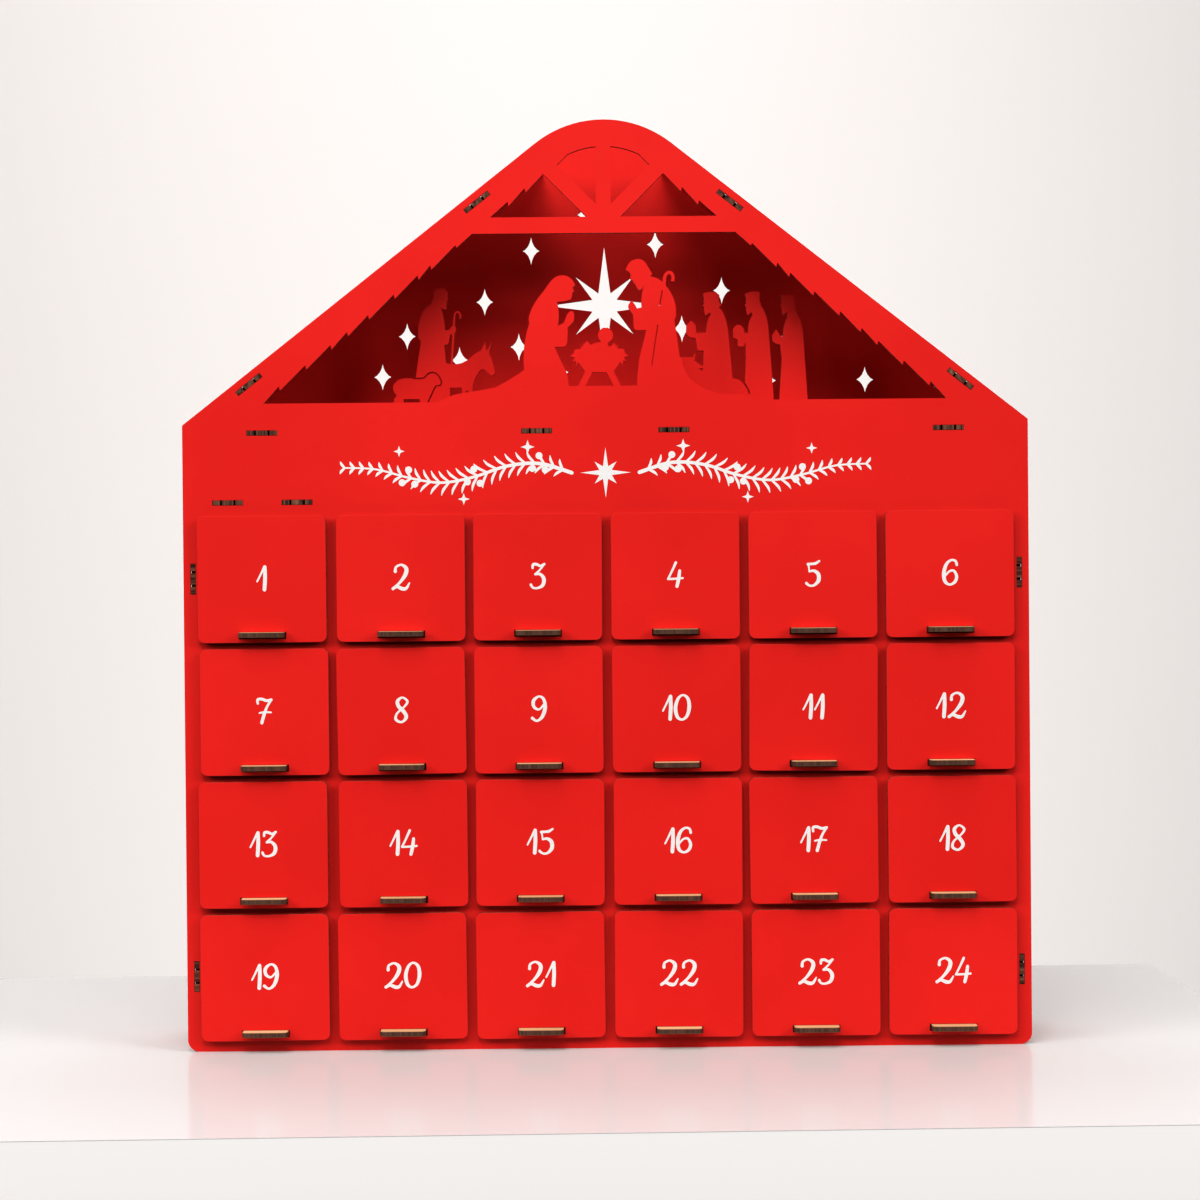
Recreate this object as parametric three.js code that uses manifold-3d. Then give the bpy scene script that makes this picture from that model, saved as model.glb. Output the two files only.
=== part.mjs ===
// An advent calendar: a house of thin boards, with 24 drawers below and a layered scene in its roof.
// Millimetres. X runs to the right, Y to the back and Z up. The ground is z = 0.

import * as THREE from 'three';
import { mergeVertices } from 'three/addons/utils/BufferGeometryUtils.js';
import Module from 'manifold-3d';

// Boards and the gaps between them
const BOARD = 3; // thickness of every board
const FIT = 0.1; // gap round a glued joint
const SEAT = 0.3; // gap where a piece slides or rests

// House
const PANEL_WIDTH = 500;
const ROOF_PITCH = THREE.MathUtils.degToRad(38.15);
const APEX_RADIUS = 65; // rounding of the ridge
const FOOT_RADIUS = 7; // rounding of the panels' lower corners
const INNER_DEPTH = 77; // between the front and back panels
const OVERHANG = 4.1; // the panels stand out this far past the side and roof boards
const BASE_RISE = 6.6; // underside of the base board above the ground
const BANNER_HEIGHT = 41.1; // from the underside of the battery shelf to that of the scene's floor
const EAVE_RISE = 3.2; // the eaves above the top of the floor
const RIDGE_OPENING = 77; // between the upper ends of the roof boards

// Snap tabs: three fingers with two slits, pushed through a slot
const TAB_LENGTH = 18;
const TAB_FINGER = 4.4; // each outer finger
const TAB_SLIT = 1.2;
const TAB_SLIT_DEPTH = 1;
const ROOF_TABS = [46, 218.5]; // centres, up the slope from the eaves
const SHELF_TAB_SPREAD = 20.5; // the battery shelf's tabs, from the middle of its column

// Drawers and the rack that carries them
const COLUMNS = 6;
const ROWS = 4;
const ROW_PITCH = 78.4;
const RACK_MARGIN = 0.8; // the outer columns are wider than the others by this
const MULLION = 9.2; // panel left between two drawer openings, side by side
const RAIL = 8.4; // panel left between two drawer openings, one above the other
const PLATE_GAP_ACROSS = 5.2; // between two front plates, side by side
const PLATE_GAP_UP = 3.6; // between two front plates, one above the other
const PLATE_CORNER = 4;
const TRAY_PLAY = 0.5; // between a tray and each side of its opening
const TRAY_HEADROOM = 5.7; // above a tray in its opening
const TRAY_BACK_GAP = 1; // behind a tray
const PULL_WIDTH = 27.8;
const PULL_REACH = 8; // how far the pull stands out of the front plate
const PULL_CORNER = 3;

// Window and gable
const SILL_RISE = 15.8; // the sill above the top of the floor
const WINDOW_HEIGHT = 99.2; // from the sill to the crossbar
const CROSSBAR = 9.6;
const KING_POST = 8.8;
const BRACE = 9.3;
const BRACE_RISE = 6.1; // where the braces meet, above the crossbar's underside
const APEX_BAND = 15.7; // rim above the fan of the gable
const THATCH_BAND = 17.6; // from the roof's edge to the notches of the thatch
const GABLE_THATCH_BAND = 16.8; // the same, over the gable's openings
const GABLE_THATCH_END = 100; // where the thatch over the gable ends, down the slope from the ridge
const THATCH_TOOTH = 2.4; // how far the tips hang below the notches
const THATCH_LEAN = 0.7; // how far the tips lean back up the slope
const THATCH_START = 26; // first notch of the thatch, down the slope from the ridge
// Next notches of the thatch, each measured down the slope from the one before
const THATCH_STEPS = [17.5, 15.7, 12.8, 39.5, 19, 9.6, 18, 19.4, 16, 12.5, 19, 20, 13];

// Scene
const CUTOUT_DEPTH = 30; // front face of the two middle sheets, behind the front of the house
const CUTOUT_TAB = 14;
const FOOT_RISE = 2; // how far the strip at a sheet's foot reaches above the sill
const CROOK_WIDTH = 2;
const SMALL_CROOK_WIDTH = 1.15;
const SLIT_WIDTH = 0.9; // cut lines inside a sheet
const FINE_SLIT_WIDTH = 0.7;
const LEG_GAP = 15; // height of the gaps between the animals' legs
const STAR_HALF_WIDTH = 5.5;
const STAR_HALF_HEIGHT = 8.7;
const STAR_WAIST = 0.2; // how far a small star's sides reach out, as a share of its points
const BIG_STAR_HEIGHT = 64.7; // centre above the sill
const BIG_STAR_SHIFT = 0.8; // centre to the right of the middle
const BIG_STAR_LONG = 36.6;
const BIG_STAR_SHORT = 26.1;
const BIG_STAR_INNER = 8.6;
const BIG_STAR_RAY = THREE.MathUtils.degToRad(26); // from the middle of a long ray to its corners
const BATTERY_HATCH_MARGIN = 7; // rim left round the hatch behind the battery shelf

// Heights, from the ground up
const baseTop = BASE_RISE + BOARD;
const openingHeight = ROW_PITCH - RAIL;
const shelfUnder = baseTop + ROWS * ROW_PITCH;
const floorUnder = shelfUnder + BANNER_HEIGHT;
const floorTop = floorUnder + BOARD;
const eave = floorTop + EAVE_RISE;
const sill = floorTop + SILL_RISE;
const crossbarUnder = sill + WINDOW_HEIGHT;
const crossbarTop = crossbarUnder + CROSSBAR;

// Widths, from the middle out
const halfPanel = PANEL_WIDTH / 2;
const sideOuter = halfPanel - OVERHANG;
const sideInner = sideOuter - BOARD;
const columnPitch = (2 * (sideInner - RACK_MARGIN) + BOARD) / COLUMNS;
const openingWidth = columnPitch - MULLION;
const plateWidth = columnPitch - PLATE_GAP_ACROSS;
const plateHeight = ROW_PITCH - PLATE_GAP_UP;

// Depths, from the front face of the house
const frontInner = BOARD;
const backInner = BOARD + INNER_DEPTH;
const bodyDepth = backInner + BOARD;
const plateBack = -SEAT;
const plateFront = plateBack - BOARD;
const pullTip = plateFront - PULL_REACH;

// Roof
const slope = Math.tan(ROOF_PITCH);
const roofLine = (x) => eave + (halfPanel - Math.abs(x)) * slope;
const apexCentre = roofLine(0) - APEX_RADIUS / Math.cos(ROOF_PITCH);
const roofInnerLine = (x) => roofLine(x) - (OVERHANG + BOARD) / Math.cos(ROOF_PITCH);
const roofFoot = (OVERHANG - OVERHANG * Math.sin(ROOF_PITCH)) / Math.cos(ROOF_PITCH);
const sideTop = eave + roofFoot * Math.sin(ROOF_PITCH) - (OVERHANG + BOARD) * Math.cos(ROOF_PITCH) - SEAT;

const columnX = (column) => (column - (COLUMNS - 1) / 2) * columnPitch;
const shelfTop = (rowFromGround) => baseTop + rowFromGround * ROW_PITCH;
const rowZ = (rowFromTop) => shelfTop(ROWS - 1 - rowFromTop) + openingHeight / 2;
const tabColumns = [0, COLUMNS / 2 - 1, COLUMNS / 2, COLUMNS - 1].map(columnX);
const shelfColumns = [1, COLUMNS - 2].map(columnX);
const sideTabHeights = [rowZ(ROWS - 1), rowZ(0)];
const batteryTabs = [columnX(0) - SHELF_TAB_SPREAD, columnX(0) + SHELF_TAB_SPREAD];
const dividerX = Array.from({ length: COLUMNS - 1 }, (_, i) => columnX(i) + columnPitch / 2);

// Materials
const boardMaterial = (name, color, roughness) => (
  new THREE.MeshStandardMaterial({ name, color, roughness, metalness: 0, flatShading: true })
);
const redBoard = boardMaterial('red_board', 0xe8231c, 0.45);
const shadedBoard = boardMaterial('red_board_inside', 0xb01a14, 0.5);
const bareBoard = boardMaterial('bare_board', 0xcf9f68, 0.75);

// Solids

const wasm = await Module();
wasm.setup();

/** Merges a geometry's equal points, and drops the triangles that this leaves without an area. */
function weld(geometry) {
  const bare = geometry.clone();
  bare.deleteAttribute('normal');
  bare.deleteAttribute('uv');
  const merged = mergeVertices(bare, 1e-4);
  const kept = [];
  for (let i = 0; i < merged.index.count; i += 3) {
    const [a, b, c] = [0, 1, 2].map((corner) => merged.index.getX(i + corner));
    if (a !== b && b !== c && c !== a) kept.push(a, b, c);
  }
  return merged.setIndex(kept);
}

/** A closed geometry as a solid that can be joined and cut. */
function toSolid(geometry) {
  return new wasm.Manifold(new wasm.Mesh({
    numProp: 3,
    vertProperties: new Float32Array(geometry.attributes.position.array),
    triVerts: new Uint32Array(geometry.index.array),
  }));
}

/** A solid as a geometry. */
function toGeometry(solid) {
  const mesh = solid.getMesh();
  const geometry = new THREE.BufferGeometry();
  geometry.setAttribute('position', new THREE.BufferAttribute(mesh.vertProperties, 3));
  return geometry.setIndex(new THREE.BufferAttribute(mesh.triVerts, 1));
}

/** Joins geometries, then cuts others out of them. */
function joinAndCut(joined, cut = []) {
  let solid = toSolid(joined[0]);
  for (const piece of joined.slice(1)) solid = solid.add(toSolid(piece));
  for (const piece of cut) solid = solid.subtract(toSolid(piece));
  return toGeometry(solid);
}

// Boards, extruded from an outline

/** Follows steps from point to point: two numbers are a straight line, four a curve by its control point. */
function trace(path, steps) {
  path.moveTo(...steps[0]);
  for (const step of steps.slice(1)) {
    if (step.length === 2) path.lineTo(...step);
    else path.quadraticCurveTo(...step);
  }
  return path;
}

const outline = (steps) => trace(new THREE.Shape(), steps);
const hole = (steps) => trace(new THREE.Path(), steps);

/** Mirrors steps left to right, so that they run on from the right half to the left one. */
function mirrorSteps(steps) {
  const ends = steps.map((step) => step.slice(-2));
  const back = [];
  for (let i = steps.length - 1; i >= 0; i -= 1) {
    const next = steps[i + 1];
    const control = next && next.length === 4 ? [-next[0], next[1]] : [];
    back.push([...control, -ends[i][0], ends[i][1]]);
  }
  return back;
}

/** Draws an outline out to a thickness, and punches each of its holes right through. */
function extrude(shape, thickness = BOARD, curveSegments = 3, holeSegments = curveSegments) {
  const drawOut = (path, depth, segments) => {
    const plain = new THREE.Shape(path.getPoints(segments));
    return weld(new THREE.ExtrudeGeometry(plain, { depth, bevelEnabled: false }));
  };
  const board = drawOut(shape, thickness, curveSegments);
  const punches = shape.holes.map((path) => (
    drawOut(path, 3 * thickness, holeSegments).translate(0, 0, -thickness)
  ));
  return punches.length > 0 ? joinAndCut([board], punches) : board;
}

const X = new THREE.Vector3(1, 0, 0);
const Y = new THREE.Vector3(0, 1, 0);
const Z = new THREE.Vector3(0, 0, 1);
const uprightFrame = new THREE.Matrix4().makeBasis(X, Z, Y.clone().negate());
const sidewaysFrame = new THREE.Matrix4().makeBasis(Y, Z, X);

/** A board that faces the front: its outline is drawn in X and Z, and its front face is at depth y. */
function uprightBoard(shape, y, thickness = BOARD, curveSegments = 3, holeSegments = curveSegments) {
  const board = extrude(shape, thickness, curveSegments, holeSegments).applyMatrix4(uprightFrame);
  return board.translate(0, y + thickness, 0);
}

/** A board that faces the side: its outline is drawn in Y and Z, and its left face is at x. */
function sidewaysBoard(shape, x) {
  return extrude(shape).applyMatrix4(sidewaysFrame).translate(x, 0, 0);
}

/** A board that lies flat: its outline is drawn in X and Y, and its underside is at height z. */
function flatBoard(shape, z) {
  return extrude(shape).translate(0, 0, z);
}

/** A closed rectangle of steps about a centre, turned by an angle. */
function rectangle(x, z, width, height, angle = 0) {
  const corners = [[-1, -1], [1, -1], [1, 1], [-1, 1]];
  const centre = new THREE.Vector2(x, z);
  return corners.map(([u, v]) => {
    const corner = new THREE.Vector2(x + (u * width) / 2, z + (v * height) / 2);
    return corner.rotateAround(centre, angle).toArray();
  });
}

/** The slot for a snap tab. */
const slot = (x, z, angle = 0, length = TAB_LENGTH) => (
  hole(rectangle(x, z, length + 2 * FIT, BOARD + 2 * FIT, angle))
);

/** A ribbon of a given width along a smooth line through points. */
function ribbon(points, width, divisions = 12) {
  const line = new THREE.SplineCurve(points.map(([x, z]) => new THREE.Vector2(x, z)));
  const left = [];
  const right = [];
  for (let i = 0; i <= divisions; i += 1) {
    const at = line.getPoint(i / divisions);
    const along = line.getTangent(i / divisions);
    const out = new THREE.Vector2(-along.y, along.x).multiplyScalar(width / 2);
    left.push([at.x + out.x, at.y + out.y]);
    right.push([at.x - out.x, at.y - out.y]);
  }
  return outline([...left, ...right.reverse()]);
}

/** Points of a snap tab on an edge, as [distance from its middle, distance out of the edge]. */
function snapTab() {
  const end = TAB_LENGTH / 2;
  const slitOuter = end - TAB_FINGER;
  const slitInner = slitOuter - TAB_SLIT;
  const reach = FIT + BOARD;
  const half = [[end, 0], [end, reach], [slitOuter, reach], [slitOuter, -TAB_SLIT_DEPTH],
    [slitInner, -TAB_SLIT_DEPTH], [slitInner, reach]];
  return [...half.map(([along, out]) => [-along, out]), ...half.reverse()];
}

/** A rectangular board with snap tabs centred at the given places on its four edges. */
function tabbedOutline(left, bottom, right, top, tabs = {}) {
  const edges = [
    { from: [left, bottom], along: [1, 0], out: [0, -1], at: (tabs.bottom ?? []).map((u) => u - left) },
    { from: [right, bottom], along: [0, 1], out: [1, 0], at: (tabs.right ?? []).map((v) => v - bottom) },
    { from: [right, top], along: [-1, 0], out: [0, 1], at: (tabs.top ?? []).map((u) => right - u) },
    { from: [left, top], along: [0, -1], out: [-1, 0], at: (tabs.left ?? []).map((v) => top - v) },
  ];
  const steps = [];
  for (const { from, along, out, at } of edges) {
    steps.push(from);
    for (const middle of at.sort((a, b) => a - b)) {
      for (const [s, r] of snapTab()) {
        const [u, v] = [0, 1].map((axis) => from[axis] + along[axis] * (middle + s) + out[axis] * r);
        steps.push([u, v]);
      }
    }
  }
  return outline(steps);
}

const panelSegments = 10; // each of the panels' arcs gets twice as many straight pieces
const starSegments = 4; // straight pieces in each curve of a small star

const meshes = new THREE.Group();

function addMesh(name, geometry, material, parent = meshes) {
  const mesh = new THREE.Mesh(geometry, material);
  mesh.name = name;
  parent.add(mesh);
  return mesh;
}

// Panels

/** The house outline that the front and back panels share. */
function houseOutline() {
  const tangent = Math.PI / 2 - ROOF_PITCH;
  const shape = new THREE.Shape();
  shape.absarc(halfPanel - FOOT_RADIUS, FOOT_RADIUS, FOOT_RADIUS, -Math.PI / 2, 0);
  shape.lineTo(halfPanel, eave);
  shape.absarc(0, apexCentre, APEX_RADIUS, tangent, Math.PI - tangent);
  shape.lineTo(-halfPanel, eave);
  shape.absarc(-halfPanel + FOOT_RADIUS, FOOT_RADIUS, FOOT_RADIUS, Math.PI, (Math.PI * 3) / 2);
  return shape;
}

/** A roof tab's place on the panels: up the slope from the eaves, in the middle of the roof board. */
function roofTabPlace(side, up) {
  const down = OVERHANG + BOARD / 2;
  const x = halfPanel - up * Math.cos(ROOF_PITCH) - down * Math.sin(ROOF_PITCH);
  const z = eave + up * Math.sin(ROOF_PITCH) - down * Math.cos(ROOF_PITCH);
  return [side * x, z];
}

/** The slots that the floor, the battery shelf, the sides and the roof need in either panel. */
function carcassSlots() {
  const sideX = (sideInner + sideOuter) / 2;
  const slots = tabColumns.map((x) => slot(x, floorUnder + BOARD / 2));
  for (const x of batteryTabs) slots.push(slot(x, shelfUnder + BOARD / 2));
  for (const side of [-1, 1]) {
    for (const z of sideTabHeights) slots.push(slot(side * sideX, z, Math.PI / 2));
    for (const up of ROOF_TABS) slots.push(slot(...roofTabPlace(side, up), -side * ROOF_PITCH));
  }
  return slots;
}

function drawerOpenings() {
  const openings = [];
  for (let row = 0; row < ROWS; row += 1) {
    for (let column = 0; column < COLUMNS; column += 1) {
      openings.push(hole(rectangle(columnX(column), rowZ(row), openingWidth, openingHeight)));
    }
  }
  return openings;
}

// Window and gable, drawn for the right half

const bandEdge = (x, band) => roofLine(x) - band / Math.cos(ROOF_PITCH);

/** The thatch's lower edge down the right slope, from notch to tip, until a tip hangs below the sill. */
function thatchEdge() {
  const steps = [[0, bandEdge(0, GABLE_THATCH_BAND)]];
  let down = THATCH_START;
  for (let i = 0; steps.at(-1)[1] > sill; i += 1) {
    const band = down < GABLE_THATCH_END ? GABLE_THATCH_BAND : THATCH_BAND;
    const notch = down * Math.cos(ROOF_PITCH);
    down += THATCH_STEPS[i % THATCH_STEPS.length];
    const tip = down * Math.cos(ROOF_PITCH) - THATCH_LEAN;
    steps.push([notch, bandEdge(notch, band)], [tip, bandEdge(tip, band + THATCH_TOOTH)]);
  }
  return steps;
}

/** All that lies under the thatch, on both slopes. */
function underThatch() {
  const right = thatchEdge();
  return outline([...right, ...mirrorSteps(right).slice(0, -1)]);
}

const braceShift = (BRACE / 2) * Math.SQRT2;
const hub = crossbarUnder + BRACE_RISE;

/** The gable's triangle between crossbar and brace. */
function triangleOutline(side) {
  const innerX = crossbarTop - hub + braceShift;
  const outerTop = crossbarTop + halfPanel - innerX;
  const steps = [[innerX, crossbarTop], [halfPanel, crossbarTop], [halfPanel, outerTop]];
  return outline(steps.map(([x, z]) => [side * x, z]));
}

/** The gable's sector between king post, brace and apex rim. */
function fanOutline(side) {
  const radius = APEX_RADIUS - APEX_BAND;
  const edge = KING_POST / 2;
  const lift = hub + braceShift - apexCentre;
  const atPost = Math.acos(edge / radius);
  const atBrace = Math.PI / 4 + Math.asin(lift / (radius * Math.SQRT2));
  const shape = new THREE.Shape();
  if (side > 0) shape.absarc(0, apexCentre, radius, atBrace, atPost);
  else shape.absarc(0, apexCentre, radius, Math.PI - atBrace, Math.PI - atPost, true);
  shape.lineTo(side * edge, edge + hub + braceShift);
  return shape;
}

/** The openings of window and gable, each ending where the thatch hangs over it. */
function sceneOpenings() {
  const through = (shape) => toSolid(uprightBoard(shape, -BOARD, 3 * BOARD, panelSegments));
  const room = through(underThatch());
  const windowOutline = outline(rectangle(0, (sill + crossbarUnder) / 2, PANEL_WIDTH, WINDOW_HEIGHT));
  const shapes = [windowOutline, ...[-1, 1].flatMap((side) => [fanOutline(side), triangleOutline(side)])];
  return shapes.map((shape) => toGeometry(through(shape).intersect(room)));
}

// Figures of the scene. Each is drawn in x from the middle and in height above the sill.

// Their numbers are drawn for a window 98.6 high, and grow with the real one.
const figureScale = WINDOW_HEIGHT / 98.6;
const placeFigure = (geometry) => geometry.scale(figureScale, 1, figureScale).translate(0, 0, sill);
const figureSegments = 5; // straight pieces in each of their curves
const figure = (steps, y) => placeFigure(uprightBoard(outline(steps), y, BOARD, figureSegments));
const figureRibbon = (points, width, divisions) => ribbon(points, width / figureScale, divisions);
const line = (points, width, y, divisions) => (
  placeFigure(uprightBoard(figureRibbon(points, width, divisions), y))
);

/** A cutting line: a ribbon that runs right through a sheet. */
const slit = (points, y, divisions, width = SLIT_WIDTH) => (
  placeFigure(uprightBoard(figureRibbon(points, width, divisions), y - BOARD, BOARD * 3))
);

function groundSteps() {
  return [[-99, -4], [-98, 0], [-92, 4.5, -81, 5.6], [-65, 8.2], [-58, 11.4, -47.5, 18.4], [-32, 18.4],
    [-26, 8.9], [26, 8.9], [40, 24.8], [45.2, 24.8], [46.2, 14, 55.5, 8.4], [63, 3.4, 74, 3.2], [83, 3],
    [91.5, -0.4], [93, -4]];
}

/** Kneeling, veiled, with raised hands, facing right. */
function kneelingSteps() {
  return [[-47.4, 6], [-47.4, 18.5], [-48.6, 34, -44, 46], [-44.6, 48.4], [-43.2, 56, -36.6, 63.4],
    [-31.5, 70.3],
    [-28.4, 74.1, -24.2, 74], [-19.2, 73.8, -16.9, 68.2], [-18.4, 66.8], [-17.6, 64.3], [-18.7, 63.7],
    [-18.8, 61.9], [-19.7, 59.7], [-23, 58.7], [-27.6, 58.3], [-26, 51.5, -27.3, 44.3], [-23.8, 46],
    [-22, 50.6], [-20.2, 53.8, -18.3, 52.5], [-17, 50.8, -18.1, 46.6], [-21.5, 43.2], [-21.8, 34.6],
    [-22.2, 32, -24.6, 31.9], [-29.3, 31.9], [-25.6, 23.4], [-22.9, 18.2], [-20.9, 13, -21.3, 6]];
}

/** Standing and bowing, hooded and bearded, with a raised hand, facing left. */
function standingSteps() {
  return [[19, 6], [19, 12], [20.2, 24], [24.6, 41.3], [19.4, 41.3], [17.3, 41.4, 17.3, 43.6], [17, 50.4],
    [13.4, 54.4, 14.3, 56.4], [16, 58.9], [18.2, 56.6, 19.2, 54.1], [22, 54.6], [21.4, 62, 23.6, 67.8],
    [22.6, 65.2, 20.8, 64.7], [19, 66.2, 18.3, 68.6], [17.1, 69.3], [17, 70.5], [15.3, 71.6], [15.7, 73.6],
    [15.1, 75.4], [12.8, 76.8], [14.4, 83, 20, 83.2], [23.6, 83.3, 25.6, 79.2], [28.4, 74.4], [27.2, 72.8],
    [31.6, 72.6, 35.4, 68.6], [43, 60.4, 42.2, 49.5], [41.2, 47], [41.7, 43.4], [44, 26.6], [46, 16.8],
    [46, 6]];
}

/** Half of the manger's straw and trough, from the middle of the trough's underside round to the right. */
function troughHalf() {
  return [[0, 16.9], [8, 16.9], [12.4, 22.7], [13.5, 20.6], [13.8, 23.7], [15.6, 22.8], [14.5, 25.6],
    [17.3, 26.3], [14.7, 28.4], [14.9, 30.2], [10.6, 30.8], [11.2, 32.8], [9.6, 31.7], [9.4, 34.2],
    [6.2, 31.6], [3.8, 34.4, 0, 34.4]];
}

/** Moves steps sideways. */
const shiftSteps = (steps, x) => (
  steps.map((step) => step.map((value, i) => (i % 2 === 0 ? value + x : value)))
);

/** Manger on two splayed legs, with the infant's round head and raised hand. */
function manger(y) {
  const middle = -3.1;
  const shift = (steps) => shiftSteps(steps, middle);
  const half = troughHalf();
  const leg = (side) => [[side * 8.1, 17.9], [side * 14, 6], [side * 9.7, 6], [side * 3.9, 17.4]];
  const head = new THREE.Shape();
  head.absarc(0.6, 38.5, 4.6, 0, Math.PI * 2);
  return [
    figure(shift([...half, ...mirrorSteps(half)]), y),
    figure(shift(leg(-1)), y),
    figure(shift(leg(1)), y),
    placeFigure(uprightBoard(head, y, BOARD, figureSegments)),
    figure([[-2.6, 32], [1.7, 32], [2.2, 36], [-2.2, 36]], y),
    figure([[-9.4, 30], [-7, 31.6], [-9.8, 34.8], [-10.8, 35.6, -11.6, 33.8]], y),
  ];
}

function frontPanel() {
  const shape = houseOutline();
  shape.holes.push(...carcassSlots(), ...drawerOpenings());
  const panel = joinAndCut([uprightBoard(shape, 0, BOARD, panelSegments)], sceneOpenings());
  const crookLine = [[35.1, 64], [35.4, 70], [36, 73.3], [38, 75.2], [40, 74.2], [40.6, 72], [40.2, 69.8]];
  const crook = line(crookLine, CROOK_WIDTH, 0, 14);
  const figures = [figure(groundSteps(), 0), figure(kneelingSteps(), 0), figure(standingSteps(), 0), crook];
  const staffLines = [[[34.2, 64.4], [32.5, 55.6]], [[31.4, 44.4], [27.6, 20.6]]];
  const staff = staffLines.map((points) => slit(points, 0, 1, FINE_SLIT_WIDTH));
  addMesh('front_panel', joinAndCut([panel, ...figures, ...manger(0)], staff), redBoard);
}

// Middle sheets of the scene

/** Strip along the foot of a sheet, with two tabs that stand in the scene's floor. */
function sheetFoot(leftX, rightX, tabs, y) {
  const foot = floorTop + SEAT;
  const top = sill + FOOT_RISE;
  const [left, right] = [leftX * figureScale, rightX * figureScale];
  const strip = uprightBoard(outline([[left, foot], [right, foot], [right, top], [left, top]]), y);
  const tongues = tabs.map((x) => {
    const tongue = rectangle(x, (foot + floorUnder + BOARD) / 2, CUTOUT_TAB, foot - floorUnder + BOARD);
    return uprightBoard(outline(tongue), y);
  });
  return [strip, ...tongues];
}

const shepherdTabs = [-114, -92].map((x) => x * figureScale);
const kingsTabs = [58, 112].map((x) => x * figureScale);

/** Shepherd in a long robe with a lifted hand, facing right. */
function shepherdSteps() {
  return [[-115, 0], [-113.1, 17], [-111.5, 27.6], [-109.8, 38.8], [-111.4, 40.6], [-112, 49, -108.6, 56.4],
    [-107, 59, -103.2, 60.8], [-103.2, 62.4], [-102, 64.8], [-102, 68], [-101.2, 70.4, -97.7, 70.5],
    [-93.8, 70.3, -93.4, 66.6], [-93.9, 65], [-93, 63.4], [-93.9, 62.8], [-94.2, 61.2], [-94.3, 57.8],
    [-96, 57, -97.9, 59], [-95.5, 53, -95.3, 45.3], [-93, 45.3], [-90.8, 48], [-88.8, 48.6, -88.6, 45.6],
    [-88.9, 42.7, -92.2, 42.5], [-93, 38.2], [-93.2, 36.4, -95.8, 36.4], [-95, 26], [-92.4, 0]];
}

/** Donkey with a lowered head and two pricked ears, facing right. */
function donkeySteps() {
  return [[-103, 0], [-103, 20], [-96, 26], [-86.8, 22.4, -80, 28.8], [-77.4, 31.6, -73.9, 32.7],
    [-71.2, 38.2], [-70.9, 33.4], [-70.2, 33.2], [-67.3, 37.8], [-69.1, 31.6], [-67.7, 28.4], [-65.7, 21],
    [-65.2, 18.2, -67.6, 17.6], [-71.4, 21], [-73.4, 22.4, -74.6, 20.8], [-78.9, 15.6, -79.1, 9], [-79.1, 0]];
}

function sheepSteps() {
  return [[-127, 0], [-126, 4.6], [-124.6, 6.3], [-128.8, 10.8, -125.4, 14], [-123.4, 16.6, -119.8, 16.6],
    [-108.6, 16.6], [-106, 18.9], [-103.2, 20.4, -100.8, 19.2], [-97.4, 15.6, -98, 12], [-101.6, 11.7],
    [-106, 0]];
}

function shepherdCutout() {
  const y = CUTOUT_DEPTH;
  const crookLine = [[-91.5, 24], [-90.7, 36], [-90, 47.3], [-89.7, 52.4], [-89.2, 54.9], [-88, 56.1],
    [-86.7, 55.5], [-86, 53.7], [-86.1, 52]];
  const crook = line(crookLine, SMALL_CROOK_WIDTH, y, 20);
  const sheepLine = slit([[-115, 16.6], [-108.6, 16.5], [-106.2, 18.8], [-102.8, 20], [-99.8, 18.4],
    [-97.8, 14.9], [-98.2, 12.2], [-101, 11.7], [-103.7, 6.6], [-106, 1.8]], y, 22);
  const betweenLegs = [[-89, 10.7, 7.1], [-82.4, 8.8, 1.4], [-115.6, 4.1, 9.6]];
  const gaps = betweenLegs.map(([x, top, width]) => {
    const height = LEG_GAP / figureScale;
    const gap = outline(rectangle(x, top - height / 2, width, height));
    return placeFigure(uprightBoard(gap, y - BOARD, BOARD * 3));
  });
  const joined = [figure(shepherdSteps(), y), figure(donkeySteps(), y), figure(sheepSteps(), y), crook,
    ...sheetFoot(-124, -81, shepherdTabs, y)];
  addMesh('shepherd_cutout', joinAndCut(joined, [sheepLine, ...gaps]), shadedBoard);
}

/** A king facing left, in a crown and a long robe. The steps run up the front and down the back. */
function kingSteps(x, hat, front, gift, back) {
  const face = [[-5.9, 61.6], [-5.2, 60.2], [-6.4, 58.5], [-5.4, 57.9], [-5.3, 55.4], [-4.6, 52.6],
    [-2, 54.4]];
  const steps = [...front, ...gift, ...face.reverse(), ...hat, ...back];
  return shiftSteps(steps, x);
}

function firstKing() {
  return kingSteps(65.4,
    [[-5.2, 62], [-5.8, 65.8], [-3.3, 67.2, -0.8, 67], [2.2, 66.8, 3.9, 64.8], [3.4, 61.2], [5.2, 58.8]],
    [[-7.6, 0], [-5.8, 31.6], [-9.4, 31.8]],
    [[-10.6, 39.2], [-14.2, 39.8], [-16.2, 42], [-16, 46.8], [-13.2, 49.8], [-10.4, 47], [-10.2, 42.4],
      [-4.4, 42.6], [-4, 49.6, -1.4, 53.4]],
    [[3.6, 57.6], [4.8, 56.2], [8.4, 52, 9.2, 40.8], [11.4, 15], [17.4, 14.8, 20.4, 8.6], [23.4, 0]]);
}

function secondKing() {
  return kingSteps(90.6,
    [[-5, 62], [-6, 65.6], [-1.4, 67.9, 3.2, 66.6], [2.6, 61.6], [3.8, 59.8]],
    [[-7, 0], [-5.8, 27], [-5.9, 36.4], [-6.8, 34], [-10.4, 34]],
    [[-10.6, 38.2], [-13.3, 39.4], [-13.4, 44.4], [-11, 48.6, -8.2, 46.4], [-6.6, 44.4], [-6.5, 42.2],
      [-4.3, 42.4], [-4.4, 49, -1.6, 52.8]],
    [[3.2, 58.8], [7.8, 54, 8.2, 42], [11, 0]]);
}

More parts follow.
